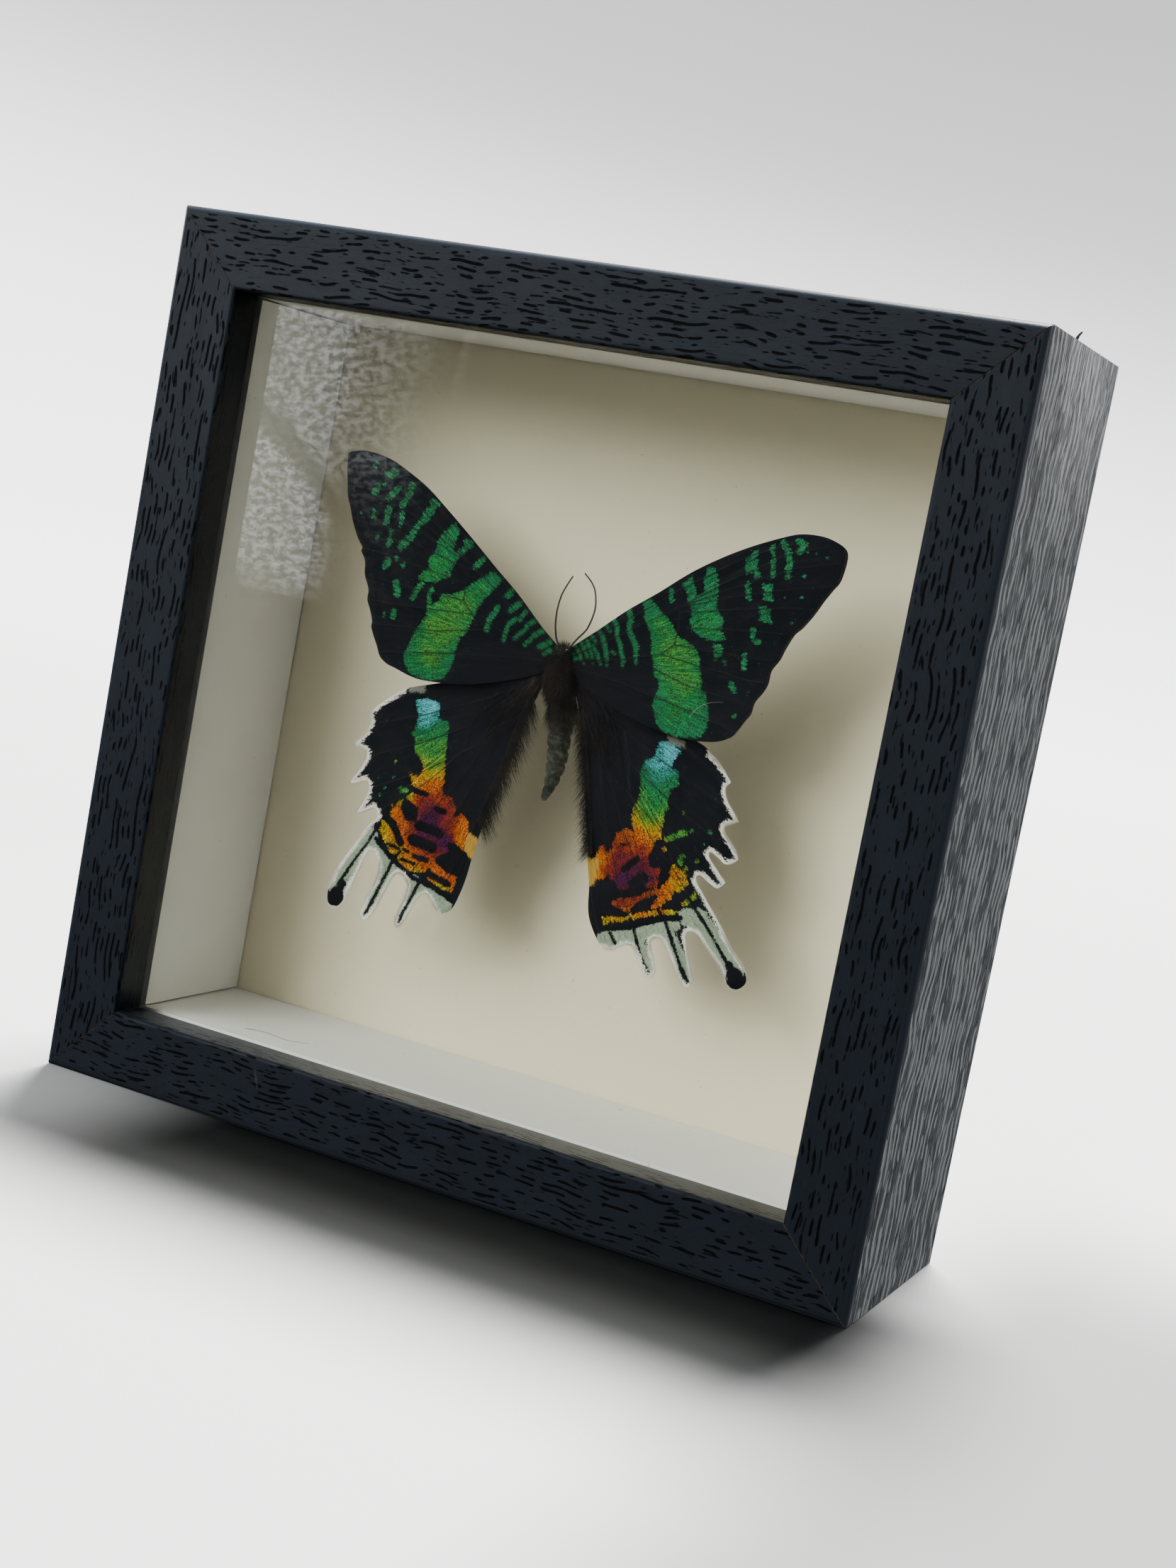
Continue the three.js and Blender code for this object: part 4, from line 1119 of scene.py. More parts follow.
def skin_finish(name, tint, roughness):
    """A plain skin, shell or thread whose tint is a little uneven."""
    f = Finish(name)
    place = f.place()
    fine = f.noise(place, 3600.0, 2.0)
    broad = f.noise(place, 700.0, 2.0)
    values = {
        "Base Color": f.shade(tint, 0.5 + 0.6 * fine + 0.4 * broad),
        "Roughness": roughness + 0.2 * fine,
        "Normal": f.bump(fine, 0.00005),
    }
    return f.finish(f.surface(values))


# Rails


def rail_section(look):
    """The rail's section from the back outer corner round the face: (inwards, back, part) in metres.

    The part is 0 on the outer side, 1 on the face and its roundings, 2 on the lip and the foil that is
    turned in behind it, and 3 where the core is raw.
    """
    low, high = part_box("rail_bottom")
    depth = high.y - low.y
    wall = look.face - look.rebate
    outer, inner = look.outer_round, look.sight_round
    turned_in = look.lip + 0.006
    foil_end = 0.0015
    quarter = [math.radians(15 * step) for step in range(7)]
    points = [(0.0, depth, 0), (0.0, depth * 0.5, 0), (0.0, outer, 0)]
    points += [(outer - outer * math.cos(a), outer - outer * math.sin(a), 1) for a in quarter[1:]]
    points += [(outer + 0.0002, 0.0, 1), (look.face - inner - 0.0004, 0.0, 1)]
    points += [(look.face - inner + inner * math.sin(a), inner - inner * math.cos(a), 1) for a in quarter]
    points += [(look.face, look.lip, 2), (wall, look.lip, 2), (wall, turned_in, 3)]
    points += [(wall, depth, 3), (foil_end, depth, 3)]
    return points


def make_rail(name, turn, look, materials):
    """One rail between its mitres, which is the bottom one turned by so many right angles."""
    low, high = cad_bounds
    half_side = (high.x - low.x) / 2
    front = low.y
    section = rail_section(look)
    count = len(section)
    chamfer = 0.00009
    between = [(share, None) for share in (-0.6, -0.2, 0.2, 0.6)]
    stations = [(-1, 0.0), (-1, chamfer), *between, (1, chamfer), (1, 0.0)]
    rounding = 8
    per_rail = 211.0
    centre_in = sum(p[0] for p in section) / count
    centre_back = sum(p[1] for p in section) / count
    turned = Matrix.Rotation(-math.pi / 2 * turn, 3, "Y")
    middle = Vector((0, 0, half_side))
    vertices, along, around, outer, plain, mitre = [], [], [], [], [], []
    run = [0.0]
    for (a0, b0, _), (a1, b1, _) in zip(section, section[1:]):
        run.append(run[-1] + math.hypot(a1 - a0, b1 - b0))
    for share, set_in in stations:
        for k, (a, b, part) in enumerate(section):
            if set_in == 0.0:
                reach = math.hypot(a - centre_in, b - centre_back)
                a += (centre_in - a) * chamfer / reach
                b += (centre_back - b) * chamfer / reach
            half = half_side - a - look.mitre_gap
            x = share * (half - (set_in or 0.0))
            place = turned @ Vector((x, 0, a - half_side)) + middle
            vertices.append((place.x, front + b, place.z))
            along.append(x / MM + per_rail * turn)
            around.append(run[k] / MM)
            outer.append(1.0 if part == 0 else 0.0)
            plain.append(1.0 if part == 2 or (part == 1 and k < rounding) else 0.0)
            mitre.append((half - abs(x)) / MM)
    faces, kinds = [], []
    for s in range(len(stations) - 1):
        for k in range(count):
            n = (k + 1) % count
            one, two = s * count, (s + 1) * count
            faces.append((one + k, two + k, two + n, one + n))
            raw = section[k][2] == 3 or section[n][2] == 3
            kinds.append(1 if raw or n == 0 else 0)
    last = (len(stations) - 1) * count
    faces += [tuple(range(count)), tuple(reversed(range(last, last + count)))]
    kinds += [1, 1]
    piece = new_piece(name, vertices, faces, materials, sharp_angle=math.radians(40))
    mesh = piece.data
    mesh.polygons.foreach_set("material_index", kinds)
    for label, values in (("outer side", outer), ("plain edge", plain), ("mitre", mitre)):
        add_field(mesh, label, values)
    add_uv(mesh, "grain", np.stack([along, around], axis=1))
    face_outwards(mesh)
    return piece


def face_outwards(mesh):
    """The mesh's faces turned so that they all look out of it."""
    work = bmesh.new()
    work.from_mesh(mesh)
    bmesh.ops.recalc_face_normals(work, faces=work.faces)
    work.to_mesh(mesh)
    work.free()


def add_field(mesh, name, values):
    field = mesh.attributes.new(name, "FLOAT", "POINT")
    field.data.foreach_set("value", np.asarray(values, np.float32))


def add_uv(mesh, name, coordinates):
    layer = mesh.uv_layers.new(name=name)
    corner = np.empty(len(mesh.loops), np.int32)
    mesh.loops.foreach_get("vertex_index", corner)
    layer.data.foreach_set("uv", np.asarray(coordinates, np.float32)[corner].ravel())


# Wings


def place_on_wing(points, side, rise, behind):
    """World places, in metres, of (u, v) points on a wing's upper side."""
    u, v = points[:, 0], points[:, 1]
    x = side * u * math.cos(rise)
    y = MOTH_PLANE + behind - u * math.sin(rise)
    return np.stack([x, y, WING_BASE_HEIGHT + v], axis=1) * MM


def soft_waves(points, seed):
    """A smooth warp of about a millimetre's height over tens of millimetres, between -1 and 1."""
    u, v = points[:, 0], points[:, 1]
    first = np.sin(0.16 * u + 0.11 * v + seed) * np.cos(0.13 * v - 0.07 * u + 2.1 * seed)
    second = np.sin(0.41 * u - 0.33 * v + 1.7 * seed)
    return 0.75 * first + 0.25 * second


def make_wing(name, look, finish, swing):
    """A thin closed wing with a warped surface, whose marks are attributes of its points."""
    wing, side, rise, behind = WINGS[name]
    cell = look.cell / MM
    outline = outline_of(wing["outline"])
    ring = resampled(outline, cell)
    low, high = ring.min(axis=0), ring.max(axis=0)
    rows = np.arange(low[1], high[1], cell * 0.866)
    grid = [(low[0] + cell * (i + 0.5 * (j % 2)), v) for j, v in enumerate(rows)
            for i in range(int((high[0] - low[0]) / cell) + 1)]
    grid = np.array(grid)
    grid = grid[inside(grid, ring)]
    grid = grid[distance_to_line(grid, ring, closed=True) > 0.45 * cell]
    points = np.vstack([ring, grid])
    flat = [Vector((side * u, v)) for u, v in points]
    made = delaunay_2d_cdt(flat, [], [list(range(len(ring)))], 1, 1e-6)
    flat, faces = made[0], made[2]
    points = np.array([(side * p.x, p.y) for p in flat])
    faces = [f if turns_left(flat, f) else f[::-1] for f in faces]

    vein = np.min([distance_to_line(points, line) for line in wing["veins"]], axis=0)
    rim = distance_to_line(points, fringed_part(wing, outline))
    if "club" in wing:
        u, v, radius = wing["club"]
        rim = np.where(np.hypot(points[:, 0] - u, points[:, 1] - v) < radius, 3.0, rim)
    ridge = 0.07 * np.exp(-((vein / 0.16) ** 2))
    pleat = 0.09 * np.clip(vein / 1.3, 0, 1) ** 2
    warp = 0.35 * soft_waves(points, swing * side) * np.clip(points[:, 0] / 12, 0, 1)
    upper = place_on_wing(points, side, rise, behind)
    upper[:, 1] += (pleat - ridge + warp) * MM
    under = upper + np.array([0, look.thickness, 0])
    count = len(points)
    edges = {(f[k], f[(k + 1) % 3]) for f in faces for k in range(3)}
    walls = [(a, a + count, b + count, b) for a, b in sorted(edges) if (b, a) not in edges]
    backs = [tuple(i + count for i in reversed(f)) for f in faces]
    sheet = np.vstack([upper, under])
    faces = [*faces, *backs, *walls]
    piece = new_piece(f"scaled_{name}", sheet, faces, [finish], sharp_angle=math.radians(50))
    from_base = points - np.array([0.5, -0.5])
    reach = np.hypot(from_base[:, 0], from_base[:, 1])
    down_reach = 24.0 if behind else 11.0
    fields = {
        "glow": cover(points, wing["bands"], wing["dashes"]),
        "dark": cover(points, wing.get("dark", []), [*wing.get("spots", []), *wing.get("rays", [])]),
        "pale": cover(points, [], wing.get("pale", [])),
        "tan": cover(points, wing.get("tan", []), []),
        "rim": rim,
        "vein": vein,
        "hue": tint_field(points, wing["tints"]),
        "down": 1.0 - np.clip(reach / down_reach, 0, 1),
    }
    for label, values in fields.items():
        add_field(piece.data, label, np.tile(np.clip(values, -3, 3), 2))
    turn = np.arctan2(from_base[:, 1], from_base[:, 0]) * 30.0
    add_uv(piece.data, "spread", np.tile(np.stack([reach, turn], axis=1), (2, 1)))
    return piece


def turns_left(points, face):
    a, b, c = (points[i] for i in face)
    return (b - a).cross(c - a) > 0


def fringed_part(wing, outline):
    """The stretch of the outline between the fringe's two ends."""
    ends = [int(np.argmin(np.hypot(*(outline - np.array(end)).T))) for end in wing["fringe"]]
    return outline[ends[0] : ends[1] + 1]


def inset(line, distance):
    """The line moved towards its right-hand side, which is inside a wing whose outline runs clockwise."""
    step = np.gradient(line, axis=0)
    step /= np.maximum(np.linalg.norm(step, axis=1), 1e-9)[:, None]
    return line + distance * np.stack([step[:, 1], -step[:, 0]], axis=1)


def chain(name, places, kept=None):
    """A string of points as a mesh of edges, without the points that aren't kept."""
    mesh = bpy.data.meshes.new(name)
    kept = [True] * len(places) if kept is None else kept
    edges = [(i, i + 1) for i in range(len(places) - 1) if kept[i] and kept[i + 1]]
    mesh.from_pydata([tuple(p) for p in places], edges, [])
    return add_object(name, mesh)


# Bodies of rings


def ringed(name, rows, sides, materials, bulge=None):
    """A closed form of level rings (x, y, z, radius across, radius deep), in millimetres."""
    vertices, coordinates = [], []
    for i, (x, y, z, across, deep) in enumerate(rows):
        for k in range(sides):
            angle = 2 * math.pi * k / sides
            swell = bulge(i, angle) if bulge else 1.0
            vertices.append((x + swell * across * math.sin(angle), y - swell * deep * math.cos(angle), z))
            coordinates.append((z, angle * across))
    first, last = rows[0], rows[-1]
    vertices += [(first[0], first[1], first[2]), (last[0], last[1], last[2])]
    coordinates += [(first[2], 0), (last[2], 0)]
    faces = []
    for i in range(len(rows) - 1):
        for k in range(sides):
            n = (k + 1) % sides
            faces.append((i * sides + k, (i + 1) * sides + k, (i + 1) * sides + n, i * sides + n))
    top, tail = len(vertices) - 2, len(vertices) - 1
    end = (len(rows) - 1) * sides
    for k in range(sides):
        n = (k + 1) % sides
        faces.append((top, k, n))
        faces.append((tail, end + n, end + k))
    lifted = [(x * MM, (y + MOTH_PLANE) * MM, (z + WING_BASE_HEIGHT) * MM) for x, y, z in vertices]
    piece = new_piece(name, lifted, faces, materials)
    add_uv(piece.data, "skin", coordinates)
    face_outwards(piece.data)
    return piece


def ball_rows(centre, radii, rings):
    rows = []
    for i in range(1, rings):
        angle = math.pi * i / rings
        width = math.sin(angle)
        rows.append((
            centre[0], centre[1], centre[2] + radii[2] * math.cos(angle), radii[0] * width, radii[1] * width,
        ))
    return rows


def feeler_group():
    """A tube along a path, tapered from its root to its tip and faintly ringed."""
    grow = Growth("Tapered tube", {"Root": float, "Tip": float, "Ring pitch": float})
    given = grow.given
    path = grow.add("GeometryNodeMeshToCurve", {}, {"Mesh": given["Geometry"]})
    settings = {"mode": "LENGTH"}
    path = grow.add("GeometryNodeResampleCurve", settings, {"Curve": path[0], "Length": given["Ring pitch"]})
    along = grow.add("GeometryNodeSplineParameter")
    index = grow.add("GeometryNodeInputIndex")[0]
    ring = 1.0 + 0.09 * index.maths("MODULO", 2.0)
    radius = (given["Root"] + (given["Tip"] - given["Root"]) * along["Factor"]) * ring
    return grow.end_with(grow.tube(path, radius, 8))


# Operators


class SPECIMEN_OT_stage(bpy.types.Operator):
    """Set the camera, the lamps, the pale floor and the bright shape that the glass mirrors"""

    bl_idname = "specimen.stage"
    bl_label = "Stage"
    CAMERA = (0.1593, -0.3436, 0.1119)

    def execute(self, context):
        look = context.scene.specimen_stage
        self.place_camera(context, look)
        floor = self.lay_floor(look)
        self.light(context, look, floor)
        self.hang_mirrored_shape()
        return {"FINISHED"}

    def place_camera(self, context, look):
        lens = bpy.data.cameras.new("camera")
        lens.lens = look.lens
        lens.sensor_width = 36
        lens.clip_start = 0.01
        lens.clip_end = 30
        camera = bpy.data.objects.new("camera", lens)
        right = Vector((0.8903, 0.4169, 0.1834))
        up = Vector((-0.2153, 0.0303, 0.9761))
        turned = Matrix((right, up, right.cross(up))).transposed()
        camera.matrix_world = Matrix.Translation(self.CAMERA) @ turned.to_4x4()
        context.scene.collection.objects.link(camera)
        context.scene.camera = camera

    def lay_floor(self, look):
        """A round floor that sweeps up into a wall far behind every camera."""
        flat, sweep, wall, sides = 1.5, 1.3, 3.6, 96
        radii = [(0.12 * k, 0.0) for k in range(1, 13)]
        radii.append((flat, 0.0))
        for k in range(1, 17):
            angle = math.pi / 2 * k / 16
            radii.append((flat + sweep * math.sin(angle), sweep - sweep * math.cos(angle)))
        radii.append((flat + sweep, wall))
        vertices = [(0, 0, 0)]
        for radius, height in radii:
            for k in range(sides):
                angle = 2 * math.pi * k / sides
                vertices.append((radius * math.cos(angle), radius * math.sin(angle), height))
        faces = [(0, 1 + k, 1 + (k + 1) % sides) for k in range(sides)]
        for ring in range(len(radii) - 1):
            for k in range(sides):
                one, two = 1 + ring * sides, 1 + (ring + 1) * sides
                n = (k + 1) % sides
                faces.append((one + k, two + k, two + n, one + n))
        f = Finish("paper")
        tooth = f.noise(f.place(), 900.0, 3.0)
        cloud = f.noise(f.place(), 3.0, 2.0)
        tint = f.shade(tuple(look.paper), 0.985 + 0.02 * cloud + 0.01 * tooth)
        x, y, height = f.parts(f.place())
        reach = (x * x + y * y).maths("SQRT")
        far = f.smooth(reach, 0.25, 1.6)
        # The frame is modelled upright, while the real one leans over the floor. The shade it throws in front
        # and beside is painted into the floor's colour.
        # Painted shade: the floor darkened beside the frame's right side.
        painted_side_shade = f.smooth(x, 0.055, 0.1) * f.fade(y, 0.0, 0.12) * f.fade(reach, 0.15, 0.5)
        painted_side_shade = 1.0 - 0.66 * painted_side_shade
        # Painted falloff: the glow of the far floor and wall dims up the wall and towards the right.
        high = 1.0 - 0.68 * f.smooth(height + 0.1 * x, 0.0, 0.55)
        # Painted contact shadow: the floor darkened in a band in front of the frame's bottom edge.
        painted_contact_shadow = f.fade(-y, 0.032, 0.074) * f.smooth(-y, 0.0, 0.02)
        painted_contact_shadow = painted_contact_shadow * f.fade(abs(x - 0.018), 0.053, 0.082)
        # Painted light: a faint glow that lifts the floor beside the frame's front corners.
        corners = f.smooth(abs(x - 0.018), 0.053, 0.09) * f.fade(reach, 0.13, 0.3)
        values = {
            "Base Color": f.shade(tint, painted_side_shade * (1.0 - 0.93 * painted_contact_shadow)),
            "Roughness": 0.7,
            "Specular IOR Level": 0.2,
            "Emission Color": f.shade(tint, 3.6 * far * high + 0.3 * corners),
            "Emission Strength": 1.0,
        }
        floor = new_piece("floor", vertices, faces, [f.finish(f.surface(values))])
        floor.visible_glossy = False
        floor.visible_diffuse = False
        floor.visible_transmission = False
        return floor

    def light(self, context, look, floor):
        """All lamps but the top one miss the floor, so that the frame's soft shadow falls forwards."""
        aim = Vector((0, 0, 0.08))
        lamps = [
            ("front light", (-0.60, -0.98, 0.66), 0.75, look.key, (1.0, 0.985, 0.94)),
            ("right light", (1.5, 0.2, 0.5), 0.9, 0.55 * look.key, (0.97, 0.985, 1.0)),
            ("left light", (-1.5, 0.3, 0.6), 0.9, 0.5 * look.key, (1.0, 1.0, 1.0)),
            ("back light", (0.5, 1.4, 0.7), 1.0, 0.35 * look.key, (1.0, 1.0, 1.0)),
            ("top light", (-0.08, 0.5, 1.6), 0.5, look.top, (1.0, 0.995, 0.98)),
        ]
        missed = bpy.data.collections.new("lit from above only")
        missed.objects.link(floor)
        missed.collection_objects[0].light_linking.link_state = "EXCLUDE"
        for name, place, size, watts, tint in lamps:
            lamp = bpy.data.lights.new(name, "AREA")
            lamp.shape = "DISK"
            lamp.size = size
            lamp.energy = watts
            lamp.color = tint
            holder = add_object(name, lamp)
            holder.location = place
            holder.rotation_euler = (aim - Vector(place)).to_track_quat("-Z", "Y").to_euler()
            holder.visible_camera = False
            holder.visible_glossy = name != "front light"
            if name != "top light":
                holder.light_linking.receiver_collection = missed
        self.surround(context, look)

    def surround(self, context, look):
        """Even light from above and behind, with a dim room in front for the glass to mirror."""
        world = bpy.data.worlds.new("room")
        world.use_nodes = True
        room = Tree(world.node_tree)
        room.nodes.clear()
        across = room.add("ShaderNodeTexCoord")["Generated"]
        parts = room.add("ShaderNodeSeparateXYZ", {}, {0: across})
        front = parts[1] * 0.9 + parts[2] * 0.7 + parts[0] * 0.25
        values = {0: front, 1: -0.35, 2: 0.75, 3: 0.07, 4: 1.0}
        share = room.add("ShaderNodeMapRange", {"interpolation_type": "SMOOTHSTEP"}, values)[0]
        values = {"Color": (0.93, 0.97, 1.0, 1), "Strength": share * look.sky}
        sky = room.add("ShaderNodeBackground", {}, values)
        output = room.nodes.new("ShaderNodeOutputWorld")
        room.links.new(sky[0].socket, output.inputs[0])
        context.scene.world = world

    def hang_mirrored_shape(self):
        """A rough pale wall far to the left in front, which shows only in the glass's and foil's reflection.

        Its pattern is laid out in millimetres on the glass, as the camera sees it mirrored there.
        """
        distance = 1.222
        eye = Vector(self.CAMERA)
        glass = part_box("glass_pane")[0].y
        spread = (distance + 2 * glass - eye.y) / (glass - eye.y)
        corners = [(-1.2, 0.004), (0.2, 0.004), (0.2, 0.62), (-1.2, 0.62)]
        vertices = [(x, -distance, z) for x, z in corners]
        f = Finish("mirrored wall")
        x, _, z = f.parts(f.place())
        across = ((x - eye.x) / spread + eye.x) * 1000.0
        up = ((z - eye.z) / spread + eye.z) * 1000.0
        wander = f.noise_at(across * 0.09, up * 0.09, 3.0) - 0.5
        lumps = f.noise_at(across * 0.6 + up * 0.2, up * 0.95 - across * 0.15, 2.0, 0.6)
        right = f.fade(across + 9.0 * wander, -37.0, -20.0)
        low = f.smooth(up + 9.0 * wander, 86.0, 96.0)
        slant = 0.8 * across + up + 7.0 * wander
        divide = 0.25 + 0.75 * f.smooth(abs(slant - 72.5), 1.0, 4.0)
        corner = 0.8 + 0.9 * f.fade(slant, 70.0, 75.0)
        corner = f.smooth(-across + 3.0 * wander, 38.0, 45.0) * corner
        level = (0.12 + 0.55 * f.smooth(up, 106.0, 119.0) + 0.8 * corner) * divide
        ray = f.fade(abs(across + 21.5 - 0.1 * (up - 130.0)), 0.3, 1.4) * f.smooth(up, 121.0, 134.0)
        glow = (level * right * low + 0.4 * ray) * (0.3 + 1.5 * f.smooth(lumps, 0.38, 0.68))
        rail = f.smooth(up, 140.0, 150.0).maths("MAXIMUM", f.smooth(-across, 64.0, 70.0) * 0.5)
        tint = f.shade((0.95, 0.97, 1.0), 2.6 * glow + 2.4 * rail)
        shine = f.add("ShaderNodeEmission", {}, {"Color": tint, "Strength": 1.0})
        wall = new_piece("mirrored wall", vertices, [(0, 1, 2, 3)], [f.finish(shine[0])], False)
        wall.visible_camera = False
        wall.visible_diffuse = False
        wall.visible_transmission = False
        wall.visible_shadow = False


class SPECIMEN_OT_rails(bpy.types.Operator):
    """Wrap the four mitred rails in wood-grain foil"""

    bl_idname = "specimen.rails"
    bl_label = "Rails"

    def execute(self, context):
        look = context.scene.specimen_frame
        materials = [foil_finish(look), fibreboard_finish()]
        for turn, side in enumerate(("bottom", "right", "top", "left")):
            rail = make_rail(f"foil_rail_{side}", turn, look, materials)
            settle(rail, "frame_foil", f"rail_{side}")
        return {"FINISHED"}


class SPECIMEN_OT_filling(bpy.types.Operator):
    """Finish the glass, the white spacers and the cream board"""

    bl_idname = "specimen.filling"
    bl_label = "Glass and card"

    def execute(self, context):
        look = context.scene.specimen_filling
        set_finish("glass_pane", glass_finish(look))
        set_finish("mount_board", board_finish(look))
        card = card_finish(look)
        for side in ("bottom", "top", "left", "right"):
            set_finish(f"spacer_{side}", card)
        return {"FINISHED"}


class SPECIMEN_OT_back(bpy.types.Operator):
    """Finish the back panel, its spring tabs and the hanger with its nails"""

    bl_idname = "specimen.back"
    bl_label = "Back"

    def execute(self, context):
        look = context.scene.specimen_filling
        set_finish("back_panel", hardboard_finish(look))
        steel = metal_finish("zinc-plated steel", (0.56, 0.57, 0.58), 0.28, (300.0, 4000.0, 4000.0))
        brass = metal_finish("brass", (0.72, 0.5, 0.2), 0.25, (3000.0, 3000.0, 3000.0))
        for side in ("bottom", "right", "top", "left"):
            for hand in ("a", "b"):
                set_finish(f"tab_{side}_{hand}", steel)
        set_finish("hanger", steel)
        set_finish("specimen_pin", steel)
        for hand in ("left", "right"):
            set_finish(f"hanger_nail_{hand}", brass)
        return {"FINISHED"}


class SPECIMEN_OT_wings(bpy.types.Operator):
    """Make the four wings with their veins and scales"""

    bl_idname = "specimen.wings"
    bl_label = "Wings"

    def execute(self, context):
        look = context.scene.specimen_moth
        fore = wing_finish(look, "forewing scales", False)
        hind = wing_finish(look, "hindwing scales", True)
        for side in ("right", "left"):
            settle(make_wing(f"forewing_{side}", look, fore, 1.3), "wing_scales", f"forewing_{side}")
            settle(make_wing(f"hindwing_{side}", look, hind, 2.9), "wing_scales", f"hindwing_{side}")
        return {"FINISHED"}


class SPECIMEN_OT_fringes(bpy.types.Operator):
    """Grow the white fringe, the dark forewing fringe and the long hairs of the hindwings' inner edges"""

    bl_idname = "specimen.fringes"
    bl_label = "Fringes"

    def execute(self, context):
        look = context.scene.specimen_moth
        group = edge_hair_group()
        white = hair_finish("white fringe", (0.5, 0.48, 0.42), (0.7, 0.68, 0.6))
        dark = hair_finish("dark fringe", (0.012, 0.01, 0.009), (0.03, 0.024, 0.02))
        brown = hair_finish("margin hair", (0.005, 0.004, 0.0038), (0.024, 0.016, 0.011))
        for seed, (name, (wing, sign, rise, behind)) in enumerate(WINGS.items()):
            fore = name.startswith("fore")
            line = inset(fringed_part(wing, outline_of(wing["outline"])), 0.3)
            kept = None
            if "club" in wing:
                u, v, radius = wing["club"]
                kept = np.hypot(line[:, 0] - u, line[:, 1] - v) > radius
            base = chain("edge", place_on_wing(line, sign, rise, behind + 0.06), kept)
            values = {
                "Spacing": 0.045 * MM, "Side": float(sign), "Lean": 0.15, "Jitter": 0.28, "Bend": 0.08,
                "Length": 0.55 * MM if fore else 0.75 * look.fringe_length, "Thickness": 0.022 * MM,
                "Seed": seed,
            }
            hair = grow_on(f"fringe_{name}", base, group, values, dark if fore else white)
            settle(hair, "wing_scales")
        for seed, side in enumerate(("right", "left")):
            wing, sign, rise, behind = WINGS[f"hindwing_{side}"]
            line = resampled(catmull_rom(wing["inner_edge"], 6), 0.4, closed=False)
            for layer, (shift, lift) in enumerate(((-0.4, -0.12), (0.5, -0.25))):
                moved = line + np.array([shift, 0.0])
                base = chain("edge", place_on_wing(moved, sign, rise, behind + lift))
                values = {
                    "Spacing": 0.03 * MM, "Side": -float(sign), "Lean": 1.25, "Jitter": 0.36, "Bend": 0.2,
                    "Length": look.margin_hair * (0.66 if sign > 0 else 1.0), "Thickness": 0.024 * MM,
                    "Seed": 20 + 2 * seed + layer,
                }
                hair = grow_on(f"margin_hair_{side}_{layer + 1}", base, group, values, brown)
                settle(hair, "moth_fur")
        return {"FINISHED"}


